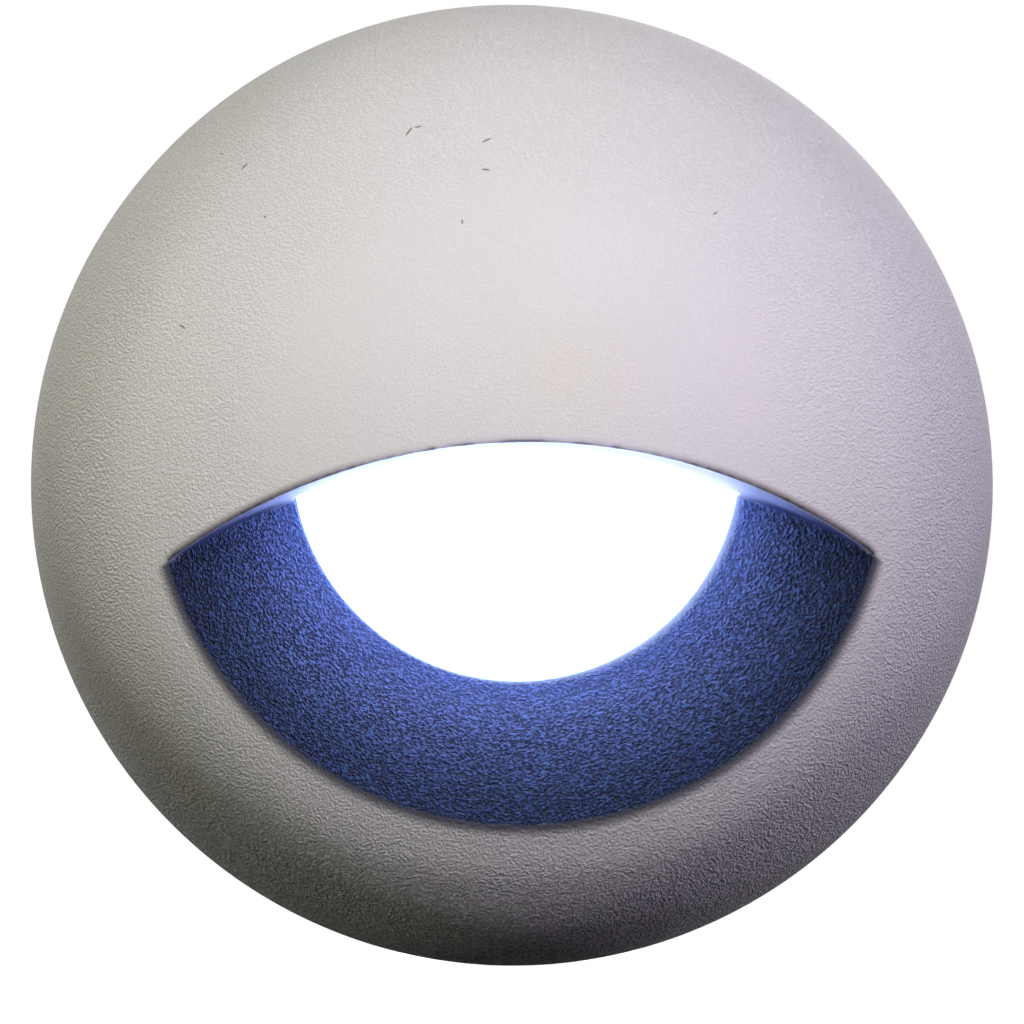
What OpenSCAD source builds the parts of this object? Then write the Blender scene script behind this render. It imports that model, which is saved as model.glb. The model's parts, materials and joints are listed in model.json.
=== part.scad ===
// Small hooded deck light that plugs into a drilled hole in a stair riser or post.
// The wall plane is y = 0, with the origin where the barrel's axis meets it. The face
// looks along -Y, the barrel runs into the wall along +Y, and the hood is at the top, +Z.
// Each piece is drawn with z as its height in front of the wall, x to the right and y up,
// and is then turned into the wall. Heights behind the wall are negative.

/* [Face] */
// Diameter of the domed face
face_d = 32; // [31:0.5:38]
// Height of the face in front of the wall
face_h = 9; // [8.6:0.1:10]
// Radius of the rounded corner between the side and the crown
corner_r = 6; // [5:0.25:6.75]
// Straight side below the rounded corner
side_h = 0.8; // [0.6:0.1:1.2]
// Thickness of the cap's side wall
cap_wall = 1.25; // [1:0.05:1.5]
// Gap between the turning rim and the wall
rim_gap = 0.3; // [0.2:0.05:0.5]
// Chamfer around the rim, next to the wall
rim_chamfer = 0.25; // [0.1:0.05:0.4]
// Depth of the cored pockets above the flange, inside the cap
core_depth = 1.3; // [0.8:0.1:1.6]
// Radial width of the cored pockets
core_w = 2.4; // [1.6:0.1:2.8]
// Number of ribs between the cored pockets
core_ribs = 8; // [4:1:12]
// Thickness of each rib
core_rib_t = 1.1; // [0.8:0.1:1.6]

/* [Recess and hood] */
// Height of the window's outer face in front of the wall
window_z = 3; // [2.7:0.1:3.4]
// Diameter of the window at the bottom of the recess
window_d = 14.8; // [13.6:0.1:15]
// How far the window and its recess sit above the face's centre
window_rise = 0.75; // [0.4:0.05:0.8]
// Angle between the recess wall and the light's axis
recess_angle = 52.75; // [46:0.25:55]
// Radius of the hood's curved lower edge
hood_r = 20.2; // [17:0.1:28]
// Height of the middle of the hood's edge above the face's centre
hood_rise = 0.76; // [0:0.02:1.6]

/* [Window] */
// Thickness of the cap's lip around the window
window_lip = 0.7; // [0.6:0.05:1]
// Radial clearance around the window and around its flange
lens_clear = 0.05; // [0.03:0.01:0.1]
// Thickness of the lens's flange
lens_t = 1.2; // [1:0.1:1.5]
// Thickness of the gasket in front of the flange
lens_gasket_t = 0.4; // [0.3:0.05:0.5]
// How far the sleeve's bore is wider than the lens's pocket, on the radius
pocket_step = 0.55; // [0.4:0.05:0.6]
// Thickness of the ring behind the lens
retainer_t = 1.4; // [1:0.1:1.6]
// Radial width of the ring behind the lens
retainer_w = 1.4; // [1.2:0.1:1.6]
// Width of each of the retainer's two key slots
retainer_slot_w = 1.6; // [1:0.1:2]
// Depth of the retainer's key slots
retainer_slot_d = 0.6; // [0.4:0.1:0.7]

/* [Barrel] */
// Diameter of the drilled hole that takes the barrel
hole_d = 25.4; // [25.2:0.1:26.4]
// Radial clearance between the hole and the grip's fins
fin_clear = 0.1; // [0.05:0.05:0.2]
// Radial clearance between the hole and the bare barrel
barrel_clear = 0.5; // [0.4:0.05:0.7]
// Thickness of the barrel's wall
barrel_wall = 1.25; // [1.15:0.05:1.4]
// Radial clearance between the flange and the cap's side wall around it
flange_clear = 0.35; // [0.25:0.05:0.8]
// Thickness of the flange
flange_t = 1.2; // [0.9:0.1:1.3]
// Thickness of the gasket between the flange and the wall
wall_gasket_t = 0.8; // [0.6:0.1:1]
// How far the wall gasket's edge stays inside the flange's edge
gasket_inset = 0.2; // [0.1:0.05:0.4]
// Clearance between the flange and the cap above it
cap_play = 0.3; // [0.2:0.05:0.4]
// Thickness of the web across the barrel that carries the boards
web_t = 1.6; // [1.4:0.1:2.4]

/* [Turning joint] */
// Radial clearance of the cap's sleeve in the barrel
sleeve_fit = 0.05; // [0.03:0.01:0.08]
// Thickness of the sleeve's wall
sleeve_wall = 1.7; // [1.6:0.05:1.8]
// Depth of the sleeve behind the wall plane
sleeve_reach = 6.4; // [6:0.1:8]
// Lead-in chamfer at the sleeve's rear end
sleeve_chamfer = 0.4; // [0.2:0.1:0.6]
// Diameter of the cap's O-ring section
cap_ring_d = 0.86; // [0.7:0.02:0.9]
// Depth of the cap's O-ring behind the wall plane
cap_ring_at = 1.8; // [1.6:0.1:2.2]
// Side clearance of each O-ring in its groove
ring_end_clear = 0.25; // [0.15:0.05:0.35]
// Radial clearance of each O-ring in the barrel and on its groove's floor
ring_clear = 0.02; // [0.01:0.01:0.04]
// Thickness of the snap ring
snap_t = 0.8; // [0.6:0.05:0.9]
// Depth of the snap ring's middle behind the wall plane
snap_at = 4.6; // [4.3:0.1:5]
// How deep the snap ring lies in the sleeve
snap_in = 0.6; // [0.45:0.05:0.7]
// How far the snap ring reaches into the barrel's groove
snap_out = 0.3; // [0.2:0.05:0.35]
// Clearance around the snap ring in both grooves
snap_clear = 0.12; // [0.08:0.02:0.16]
// Gap between the snap ring's ends, in degrees
snap_gap = 36; // [20:2:60]

/* [Grip sleeve] */
// Depth of the groove that the grip sleeve sits in
grip_seat = 0.5; // [0.4:0.05:0.55]
// Depth of the grip sleeve's front end behind the wall plane
grip_at = 7; // [6:0.1:7.6]
// Length of the grip sleeve
grip_len = 6.3; // [5:0.1:6.6]
// Number of the grip sleeve's fins
grip_fins = 4; // [3:1:5]
// Width of each fin at its tip
fin_w = 0.7; // [0.5:0.1:0.8]
// How far the fins stand above the sleeve's body
fin_h = 0.45; // [0.3:0.05:0.6]
// Clearance between the grip sleeve and its groove
grip_clear = 0.03; // [0.02:0.01:0.05]

/* [Light source] */
// Gap between the sleeve's rear end and the ledge behind it
sleeve_end_gap = 0.5; // [0.3:0.1:0.8]
// Width of the ledge around the light board
board_ledge = 1.25; // [1:0.05:1.5]
// Radial clearance of the light board in its pocket
board_clear = 0.1; // [0.05:0.05:0.15]
// Thickness of the light board
led_board_t = 1; // [0.8:0.1:1.2]
// Thickness of the thermal pad behind the light board
pad_t = 0.4; // [0.3:0.1:0.5]
// How far the light board's face lies below the ledge
board_sunk = 0.1; // [0:0.05:0.3]
// Side of each light package
led_size = 3; // [2.6:0.1:3]
// Thickness of each light package
led_t = 0.7; // [0.5:0.1:0.9]
// Radius of the circle that the packages lie on
led_circle = 2.7; // [2.65:0.05:3]
// Number of light packages
led_count = 3; // [2:1:3]
// Diameter of the glowing window in each package
led_window_d = 2.2; // [1.6:0.1:2.4]
// Height of the glowing window above its package
led_window_t = 0.1; // [0.05:0.05:0.2]
// Inner radius of the light cup at the board
cup_throat_r = 4.8; // [4.75:0.05:5]
// Clearance between the light cup's mouth and the sleeve around it
cup_clear = 0.5; // [0.4:0.05:0.8]
// Wall of the light cup
cup_wall = 0.6; // [0.5:0.05:0.8]
// Gap between the light cup and the retainer in front of it
cup_gap = 0.4; // [0.3:0.05:0.8]
// Width of the light cup's foot
cup_foot_w = 1.4; // [1.2:0.1:1.5]
// Thickness of the light cup's foot
cup_foot_t = 0.4; // [0.3:0.05:0.5]
// Diameter of the light cup's pegs
peg_d = 0.8; // [0.6:0.1:0.9]
// Number of the light cup's pegs
peg_count = 3; // [2:1:3]

/* [Screws and leads] */
// Shank diameter of all screws
screw_d = 1.6; // [1.4:0.1:1.8]
// Head diameter of all screws
screw_head_d = 2.6; // [2.3:0.1:2.8]
// Head height of all screws
screw_head_t = 0.9; // [0.7:0.1:1]
// Diameter of the screw heads' flat top
screw_top_d = 2.1; // [1.9:0.1:2.2]
// Length of each slot of the cross recess in the screw heads
screw_slot_l = 1.6; // [1.2:0.1:1.7]
// Width of each slot of the cross recess
screw_slot_w = 0.4; // [0.3:0.05:0.5]
// Depth of the cross recess
screw_slot_d = 0.45; // [0.3:0.05:0.5]
// Radius at which the light board's screws stand
board_screw_at = 7.9; // [7.75:0.05:8]
// Angle of the first of the light board's two screws
board_screw_angle = 60; // [50:1:70]
// Depth that the screws bite into the housing
screw_bite = 1.1; // [0.8:0.1:1.3]
// Clearance around every shank, lead and peg where it passes through
hole_clear = 0.05; // [0.03:0.01:0.08]
// Diameter of the insulated leads
lead_d = 1; // [0.8:0.1:1.1]
// Distance of each lead from the light's axis
lead_at = 7.6; // [7.4:0.1:7.8]
// Wall of the bush around each lead in the web
bush_wall = 0.4; // [0.3:0.05:0.5]
// Diameter of each soldered joint
solder_d = 1.7; // [1.5:0.1:1.8]
// Diameter at the tip of each soldered joint
solder_tip_d = 0.7; // [0.4:0.1:1]
// Height of each soldered joint
solder_h = 0.55; // [0.4:0.05:0.7]

/* [Driver] */
// Thickness of the driver board
driver_t = 1; // [0.8:0.1:1.2]
// Radial clearance of the driver board in the barrel
driver_clear = 0.35; // [0.2:0.05:0.5]
// Height of the posts between the web and the driver board
post_h = 1.6; // [1.2:0.1:2.4]
// Diameter of the posts
post_d = 3; // [2.8:0.1:3.4]
// Radius at which the posts stand
post_at = 8.6; // [8.4:0.1:8.9]
// Room behind the driver board for what stands on it
driver_room = 2.8; // [2.7:0.1:5]
// Width of the bridge rectifier
rectifier_w = 4.7; // [3.9:0.1:4.8]
// Height of the bridge rectifier on the board
rectifier_h = 3.9; // [3:0.1:4.2]
// Thickness of the bridge rectifier
rectifier_t = 1.8; // [1.2:0.1:2.2]
// Side of the inductor
inductor_side = 4; // [3:0.1:4.2]
// Thickness of the inductor
inductor_t = 1.8; // [1.2:0.1:2.2]
// Corner chamfer of the inductor
inductor_chamfer = 0.6; // [0.3:0.1:1]
// Width of the smoothing capacitor
capacitor_w = 3.5; // [3:0.1:3.8]
// Height of the smoothing capacitor on the board
capacitor_h = 2.8; // [2:0.1:3]
// Thickness of the smoothing capacitor
capacitor_t = 1.9; // [1.2:0.1:2.2]
// Width of the driver chip's body
chip_w = 2.9; // [2.6:0.1:3.2]
// Height of the driver chip's body on the board
chip_h = 1.6; // [1.4:0.1:1.8]
// Thickness of the driver chip's body
chip_t = 1.1; // [0.8:0.1:1.3]
// Width of each of the driver chip's legs
leg_w = 0.4; // [0.3:0.05:0.5]
// How far each leg reaches out of the chip's body
leg_reach = 0.5; // [0.3:0.05:0.55]
// Thickness of each leg
leg_t = 0.2; // [0.1:0.05:0.3]
// Distance between neighbouring legs
leg_pitch = 0.95; // [0.8:0.05:1]
// Width of the small resistors
resistor_w = 1.6; // [1.4:0.1:1.8]
// Height of the small resistors on the board
resistor_h = 0.8; // [0.6:0.1:1]
// Thickness of the small resistors
resistor_t = 0.45; // [0.35:0.05:0.6]
// Diameter of the two pads for the feed wires
feed_pad_d = 1.8; // [1.4:0.1:2]
// Thickness of the feed pads
feed_pad_t = 0.1; // [0.05:0.05:0.2]

/* [Rear end] */
// Thickness of the rear cap
rear_cap_t = 1.6; // [1.4:0.1:2]
// Radial clearance of the rear cap in the barrel
rear_clear = 0.05; // [0.03:0.01:0.06]
// Height of the rear cap's skirt
skirt_h = 1.8; // [1.6:0.1:1.8]
// Thickness of the rear cap's skirt
skirt_wall = 1.5; // [1.4:0.05:1.5]
// Diameter of the rear O-ring's section
rear_ring_d = 0.76; // [0.6:0.02:0.8]
// How far the rear cap's snap bead stands out
bead_h = 0.15; // [0.1:0.05:0.2]
// Width of the snap bead
bead_w = 0.5; // [0.4:0.05:0.6]
// Distance from the rear face to the middle of the snap bead
bead_at = 0.75; // [0.6:0.05:0.8]
// Clearance around the snap bead in the barrel's groove
bead_clear = 0.1; // [0.06:0.02:0.12]
// Diameter of the feed cable that the grommet seals on
cable_d = 4.2; // [3.4:0.1:4.4]
// Wall of the grommet at its waist
grommet_wall = 0.8; // [0.6:0.05:0.9]
// How far the grommet's flanges stand out from its waist
grommet_lip = 0.6; // [0.5:0.05:0.7]
// Thickness of the grommet's inner flange
grommet_in_t = 0.6; // [0.4:0.05:0.6]
// Thickness of the grommet's outer flange, before its tail tapers
grommet_out_t = 0.45; // [0.3:0.05:0.6]
// Length of the grommet's tail behind the rear cap
grommet_tail = 1.4; // [1:0.1:4]
// Clearance of the grommet in the rear cap
grommet_clear = 0.02; // [0.01:0.01:0.04]

/* [Hidden] */
$fn = 96;
// How far a cut runs past the face that it opens
past = 1;

// Face: the crown is one arc that runs smoothly into the corner arc
face_r = face_d / 2;
corner_x = face_r - corner_r;
crown_r = (pow(corner_x, 2) + pow(face_h - side_h, 2) - pow(corner_r, 2))
    / (2 * (face_h - side_h - corner_r));
crown_z = face_h - crown_r;

// Radii from the drilled hole inwards
hole_r = hole_d / 2;
fin_r = hole_r - fin_clear;
barrel_r = hole_r - barrel_clear;
bore_r = barrel_r - barrel_wall;
sleeve_r = bore_r - sleeve_fit;
sleeve_bore_r = sleeve_r - sleeve_wall;
pocket_r = sleeve_bore_r - pocket_step;
cavity_r = face_r - cap_wall;
flange_r = cavity_r - flange_clear;
grip_seat_r = barrel_r - grip_seat;
window_r = window_d / 2;
board_pocket_r = bore_r - board_ledge;
led_board_r = board_pocket_r - board_clear;
driver_r = bore_r - driver_clear;

// Heights of the cap and what it holds
flange_front = wall_gasket_t + flange_t;
cavity_top = flange_front + cap_play;
lens_ledge = window_z - window_lip;
lens_front = lens_ledge - lens_gasket_t;
lens_back = lens_front - lens_t;
retainer_back = lens_back - retainer_t;

// Heights of the boards, from the sleeve's rear end backwards
ledge_z = -(sleeve_reach + sleeve_end_gap);
led_face = ledge_z - board_sunk;
pad_front = led_face - led_board_t;
web_front = pad_front - pad_t;
web_back = web_front - web_t;
driver_front = web_back - post_h;
driver_back = driver_front - driver_t;
rear_cap_front = driver_back - driver_room;
rear_face = rear_cap_front - rear_cap_t;

// Grooves, each the size of what lies in it and its clearance
cap_groove_r = bore_r - cap_ring_d - 2 * ring_clear;
cap_groove_w = cap_ring_d + 2 * ring_end_clear;
snap_inner_r = sleeve_r - snap_in;
snap_outer_r = bore_r + snap_out;
snap_groove_w = snap_t + 2 * snap_clear;
skirt_inner_r = bore_r - rear_clear - skirt_wall;
rear_groove_r = bore_r - rear_ring_d - 2 * ring_clear;
rear_groove_w = rear_ring_d + 2 * ring_end_clear;
rear_ring_z = rear_cap_front + skirt_h / 2;
bead_r = bore_r + bead_h;
bead_z = rear_face + bead_at;

// Grommet
cable_r = cable_d / 2;
waist_r = cable_r + grommet_wall;
lip_r = waist_r + grommet_lip;

// Screw, post and lead places
board_screw_turns = [board_screw_angle, board_screw_angle + 180];
post_turns = [90, 210, 330];
lead_turns = [0, 180];
peg_turns = [for (i = [0:peg_count - 1]) 90 + i * 360 / peg_count];
led_turns = [for (i = [0:led_count - 1]) 90 + i * 360 / led_count];
shank_r = screw_d / 2;
shank_hole_r = shank_r + hole_clear;
head_r = screw_head_d / 2;
lead_r = lead_d / 2;
lead_hole_r = lead_r + hole_clear;
bush_r = lead_hole_r + bush_wall;
peg_r = peg_d / 2;
peg_at = cup_throat_r + cup_foot_w / 2;

// Width, height on the board and thickness of what stands on the boards
rectifier_size = [rectifier_w, rectifier_h, rectifier_t];
capacitor_size = [capacitor_w, capacitor_h, capacitor_t];
chip_size = [chip_w, chip_h, chip_t];
leg_size = [leg_w, 2 * leg_reach, leg_t];
resistor_size = [resistor_w, resistor_h, resistor_t];

// Places on the driver board, right and up from the axis
rectifier_place = [5.2, 3];
inductor_place = [-5.2, 3];
capacitor_place = [0, -6];
chip_place = [0, 5];
resistor_places = [[-3.7, -3.2], [3.7, -3.2], [3.8, -6.3]];
feed_pad_places = [[-1.6, -1.4], [1.6, -1.4]];
// Places of the two resistors on the light board, as turns at the leads' radius
board_resistor_turns = [120, 300];

// Turns a piece from its drawing position into the wall
module in_wall() {
    rotate([90, 0, 0]) children();
}

// A ring between two radii and two heights
module ring(inner_r, outer_r, low, high) {
    translate([0, 0, low])
        difference() {
            cylinder(r = outer_r, h = high - low);
            translate([0, 0, -past]) cylinder(r = inner_r, h = high - low + 2 * past);
        }
}

// Copies a piece to each turn, at a distance from the axis
module around(turns, at) {
    for (turn = turns)
        rotate([0, 0, turn]) translate([at, 0, 0]) children();
}

// A box centred on a place on the driver board's rear side
module on_driver(place, size) {
    translate([place[0] - size[0] / 2, place[1] - size[1] / 2, driver_back - size[2]])
        cube(size);
}

// A pan-head screw with a cross recess, head up from height 0 and shank down
module screw(length) {
    difference() {
        union() {
            cylinder(r1 = head_r, r2 = screw_top_d / 2, h = screw_head_t);
            translate([0, 0, -length]) cylinder(r = shank_r, h = length + screw_head_t / 2);
        }
        for (turn = [0, 90])
            rotate([0, 0, turn])
                translate([-screw_slot_l / 2, -screw_slot_w / 2, screw_head_t - screw_slot_d])
                    cube([screw_slot_l, screw_slot_w, screw_slot_d + past]);
    }
}

// Half outline of the domed face, from the axis to the side
module face_outline() {
    intersection() {
        translate([0, crown_z]) circle(r = crown_r, $fn = 256);
        polygon([
            [0, 0],
            [corner_x, 0],
            [corner_x, side_h],
            [corner_x, side_h] + [corner_x, side_h - crown_z] * face_h / (side_h - crown_z),
            [0, face_h + past]
        ]);
    }
    intersection() {
        translate([corner_x, side_h]) circle(r = corner_r);
        translate([0, side_h]) square([face_r + past, face_h]);
    }
    square([face_r, side_h]);
}

// The conical recess in front of the window, cut off at the top by the hood
module recess() {
    intersection() {
        translate([0, window_rise, window_z])
            cylinder(r1 = window_r, r2 = window_r + face_h * tan(recess_angle), h = face_h);
        translate([0, hood_rise - hood_r, window_z - past])
            cylinder(r = hood_r, h = face_h + 2 * past, $fn = 256);
    }
}

// Cored pockets between ribs, above the flange
module core_pockets() {
    difference() {
        ring(cavity_r - core_w, cavity_r, cavity_top - past, cavity_top + core_depth);
        for (i = [0:core_ribs - 1])
            rotate([0, 0, (i + 0.5) * 360 / core_ribs])
                translate([0, -core_rib_t / 2, cavity_top])
                    cube([face_r, core_rib_t, core_depth + past]);
    }
}

module hood_cap() {
    color("#d9dade") in_wall()
        difference() {
            union() {
                difference() {
                    rotate_extrude($fn = 256) face_outline();
                    translate([0, 0, rim_gap - face_r]) cylinder(r = face_r + past, h = face_r);
                    ring(sleeve_r, cavity_r, -past, cavity_top);
                    core_pockets();
                }
                translate([0, 0, -sleeve_reach])
                    cylinder(r = sleeve_r, h = sleeve_reach + cavity_top);
            }
            recess();
            translate([0, window_rise, lens_ledge - past])
                cylinder(r = window_r, h = window_lip + past);
            translate([0, 0, lens_back - past])
                cylinder(r = pocket_r, h = lens_ledge - lens_back + past);
            translate([0, 0, -sleeve_reach - past])
                cylinder(r = sleeve_bore_r, h = sleeve_reach + past + lens_back);
            ring(cap_groove_r, bore_r, -cap_ring_at - cap_groove_w / 2, -cap_ring_at + cap_groove_w / 2);
            ring(
                snap_inner_r - snap_clear,
                bore_r,
                -snap_at - snap_groove_w / 2,
                -snap_at + snap_groove_w / 2
            );
            translate([0, 0, -sleeve_reach])
                difference() {
                    translate([0, 0, -past]) cylinder(r = bore_r, h = past + sleeve_chamfer);
                    cylinder(
                        r1 = sleeve_r - sleeve_chamfer,
                        r2 = sleeve_r,
                        h = sleeve_chamfer
                    );
                }
            translate([0, 0, rim_gap])
                difference() {
                    translate([0, 0, -past]) cylinder(r = face_r + past, h = past + rim_chamfer);
                    translate([0, 0, -past]) cylinder(r = face_r - rim_chamfer, h = past);
                    cylinder(r1 = face_r - rim_chamfer, r2 = face_r, h = rim_chamfer);
                }
        }
}

module lens() {
    color("#eef3ff") in_wall() {
        translate([0, 0, lens_back]) cylinder(r = pocket_r - lens_clear, h = lens_t);
        translate([0, window_rise, lens_front])
            cylinder(r = window_r - lens_clear, h = window_z - lens_front - lens_clear);
    }
}

module lens_gasket() {
    color("#2b2c2f") in_wall()
        translate([0, 0, lens_front])
            difference() {
                cylinder(r = pocket_r - lens_clear, h = lens_gasket_t);
                translate([0, window_rise, -past])
                    cylinder(r = window_r, h = lens_gasket_t + 2 * past);
            }
}

module lens_retainer() {
    color("#3a3c40") in_wall()
        difference() {
            ring(
                sleeve_bore_r - lens_clear - retainer_w,
                sleeve_bore_r - lens_clear,
                retainer_back,
                lens_back
            );
            for (turn = [0, 180])
                rotate([0, 0, turn])
                    translate([0, -retainer_slot_w / 2, retainer_back - past])
                        cube([sleeve_bore_r + past, retainer_slot_w, retainer_slot_d + past]);
        }
}

// An O-ring that touches neither the bore around it nor its groove's floor
module o_ring(section_d, at_z) {
    rotate_extrude() translate([bore_r - ring_clear - section_d / 2, at_z]) circle(d = section_d);
}

module cap_o_ring() {
    color("#1b1c1e") in_wall() o_ring(cap_ring_d, -cap_ring_at);
}

module snap_ring() {
    color("#9aa0a6") in_wall()
        difference() {
            ring(snap_inner_r, snap_outer_r, -snap_at - snap_t / 2, -snap_at + snap_t / 2);
            translate([0, 0, -snap_at])
                linear_extrude(height = 2 * snap_t, center = true)
                    polygon([
                        [0, 0],
                        [2 * barrel_r * cos(snap_gap / 2), -2 * barrel_r * sin(snap_gap / 2)],
                        [2 * barrel_r * cos(snap_gap / 2), 2 * barrel_r * sin(snap_gap / 2)]
                    ]);
        }
}

// Half outline of the barrel with its flange, its web and its grooves
module housing_outline() {
    difference() {
        union() {
            translate([0, rear_face]) square([barrel_r, flange_front - rear_face]);
            translate([0, wall_gasket_t]) square([flange_r, flange_t]);
        }
        translate([0, ledge_z]) square([bore_r, flange_front - ledge_z + past]);
        translate([0, web_front]) square([board_pocket_r, ledge_z - web_front + past]);
        translate([0, rear_face - past]) square([bore_r, web_back - rear_face + past]);
        translate([grip_seat_r, -grip_at - grip_len]) square([past, grip_len]);
        translate([0, -snap_at - snap_groove_w / 2])
            square([snap_outer_r + snap_clear, snap_groove_w]);
        translate([0, bead_z - bead_w / 2 - bead_clear])
            square([bead_r + bead_clear, bead_w + 2 * bead_clear]);
    }
}

module housing() {
    color("#b4b7bb") in_wall()
        difference() {
            union() {
                rotate_extrude() housing_outline();
                around(post_turns, post_at)
                    translate([0, 0, driver_front]) cylinder(d = post_d, h = post_h + web_t / 2);
            }
            around(board_screw_turns, board_screw_at)
                translate([0, 0, web_front - screw_bite - hole_clear])
                    cylinder(r = shank_hole_r, h = screw_bite + past);
            around(post_turns, post_at)
                translate([0, 0, driver_front - past])
                    cylinder(r = shank_hole_r, h = past + screw_bite + hole_clear);
            around(lead_turns, lead_at)
                translate([0, 0, web_back - past])
                    cylinder(r = bush_r + hole_clear, h = web_t + 2 * past);
        }
}

module wall_gasket() {
    color("#2f3134") in_wall()
        ring(barrel_r + lens_clear, flange_r - gasket_inset, 0, wall_gasket_t);
}

// Half outline of the grip sleeve: a thin body with straight fins
module grip_outline() {
    inner_r = grip_seat_r + grip_clear;
    body_h = grip_len - 2 * grip_clear;
    pitch = (body_h - fin_w) / (grip_fins - 1);
    translate([inner_r, -grip_at - grip_len + grip_clear]) {
        square([fin_r - fin_h - inner_r, body_h]);
        for (i = [0:grip_fins - 1])
            translate([0, i * pitch]) square([fin_r - inner_r, fin_w]);
    }
}

module grip_sleeve() {
    color("#35373b") in_wall() rotate_extrude() grip_outline();
}

module light_cup() {
    mouth_z = retainer_back - cup_gap;
    mouth_r = sleeve_bore_r - cup_clear - cup_wall;
    color("#f4f4f0") in_wall() {
        rotate_extrude()
            polygon([
                [cup_throat_r, led_face],
                [cup_throat_r + cup_foot_w, led_face],
                [cup_throat_r + cup_foot_w, led_face + cup_foot_t],
                [cup_throat_r + cup_wall, led_face + cup_foot_t],
                [mouth_r + cup_wall, mouth_z],
                [mouth_r, mouth_z],
                [cup_throat_r, led_face + cup_foot_t]
            ]);
        around(peg_turns, peg_at)
            translate([0, 0, led_face - led_board_t + hole_clear])
                cylinder(r = peg_r, h = led_board_t + cup_foot_t / 2);
    }
}

module led_packages() {
    color("#f2efe2") in_wall()
        around(led_turns, led_circle)
            translate([0, 0, led_face + led_t / 2]) cube([led_size, led_size, led_t], center = true);
}

module led_windows() {
    color("#8fb2ff") in_wall()
        around(led_turns, led_circle)
            translate([0, 0, led_face + led_t]) cylinder(d = led_window_d, h = led_window_t);
}

module led_board() {
    color("#eceff2") in_wall()
        difference() {
            translate([0, 0, pad_front]) cylinder(r = led_board_r, h = led_board_t);
            translate([0, 0, pad_front - past]) {
                around(board_screw_turns, board_screw_at)
                    cylinder(r = shank_hole_r, h = led_board_t + 2 * past);
                around(lead_turns, lead_at)
                    cylinder(r = lead_hole_r, h = led_board_t + 2 * past);
                around(peg_turns, peg_at)
                    cylinder(r = peg_r + hole_clear, h = led_board_t + 2 * past);
            }
        }
}

module board_screws() {
    color("#a9adb2") in_wall()
        around(board_screw_turns, board_screw_at)
            translate([0, 0, led_face]) screw(led_board_t + pad_t + screw_bite);
}

module board_resistors() {
    color("#2a2a2c") in_wall()
        around(board_resistor_turns, lead_at)
            translate([0, 0, led_face + resistor_t / 2]) cube(resistor_size, center = true);
}

module thermal_pad() {
    color("#8fa3b8") in_wall()
        difference() {
            translate([0, 0, web_front]) cylinder(r = led_board_r - board_clear, h = pad_t);
            translate([0, 0, web_front - past]) {
                around(board_screw_turns, board_screw_at)
                    cylinder(r = shank_hole_r, h = pad_t + 2 * past);
                around(lead_turns, lead_at)
                    cylinder(r = bush_r + hole_clear, h = pad_t + 2 * past);
            }
        }
}

// One insulated lead from the light board's face to the driver board's rear side
module lead() {
    translate([lead_at, 0, driver_back]) cylinder(r = lead_r, h = led_face - driver_back);
}

module lead_positive() {
    color("#b3261e") in_wall() rotate([0, 0, lead_turns[0]]) lead();
}

module lead_negative() {
    color("#1d1d1f") in_wall() rotate([0, 0, lead_turns[1]]) lead();
}

module lead_bushes() {
    color("#e6e4dc") in_wall()
        around(lead_turns, lead_at) ring(lead_hole_r, bush_r, web_back, pad_front);
}

module solder_joints() {
    color("#c3c6c9") in_wall()
        around(lead_turns, lead_at) {
            translate([0, 0, led_face])
                cylinder(d1 = solder_d, d2 = solder_tip_d, h = solder_h);
            translate([0, 0, driver_back - solder_h])
                cylinder(d1 = solder_tip_d, d2 = solder_d, h = solder_h);
        }
}

module driver_board() {
    color("#1f5b3a") in_wall()
        difference() {
            translate([0, 0, driver_back]) cylinder(r = driver_r, h = driver_t);
            translate([0, 0, driver_back - past]) {
                around(post_turns, post_at) cylinder(r = shank_hole_r, h = driver_t + 2 * past);
                around(lead_turns, lead_at) cylinder(r = lead_hole_r, h = driver_t + 2 * past);
            }
        }
}

module driver_screws() {
    color("#a9adb2") in_wall()
        around(post_turns, post_at)
            translate([0, 0, driver_back]) mirror([0, 0, 1]) screw(driver_t + screw_bite);
}

module bridge_rectifier() {
    color("#202124") in_wall() on_driver(rectifier_place, rectifier_size);
}

// The inductor is a square block with its four corners cut off
module inductor() {
    color("#4a4b4f") in_wall()
        translate([inductor_place[0], inductor_place[1], driver_back - inductor_t])
            linear_extrude(height = inductor_t)
                intersection() {
                    square(inductor_side, center = true);
                    rotate(45)
                        square((inductor_side - inductor_chamfer) * sqrt(2), center = true);
                }
}

// The chip's body with three legs that reach out of each of its long sides
module driver_chip() {
    color("#26272a") in_wall() {
        on_driver(chip_place, chip_size);
        for (side = [-1, 1], step = [-1:1])
            on_driver(chip_place + [step * leg_pitch, side * chip_h / 2], leg_size);
    }
}

module smoothing_capacitor() {
    color("#d08a2c") in_wall() on_driver(capacitor_place, capacitor_size);
}

module driver_resistors() {
    color("#2a2a2c") in_wall()
        for (place = resistor_places) on_driver(place, resistor_size);
}

module feed_pads() {
    color("#c9a24a") in_wall()
        for (place = feed_pad_places)
            translate([place[0], place[1], driver_back - feed_pad_t])
                cylinder(d = feed_pad_d, h = feed_pad_t);
}

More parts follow.
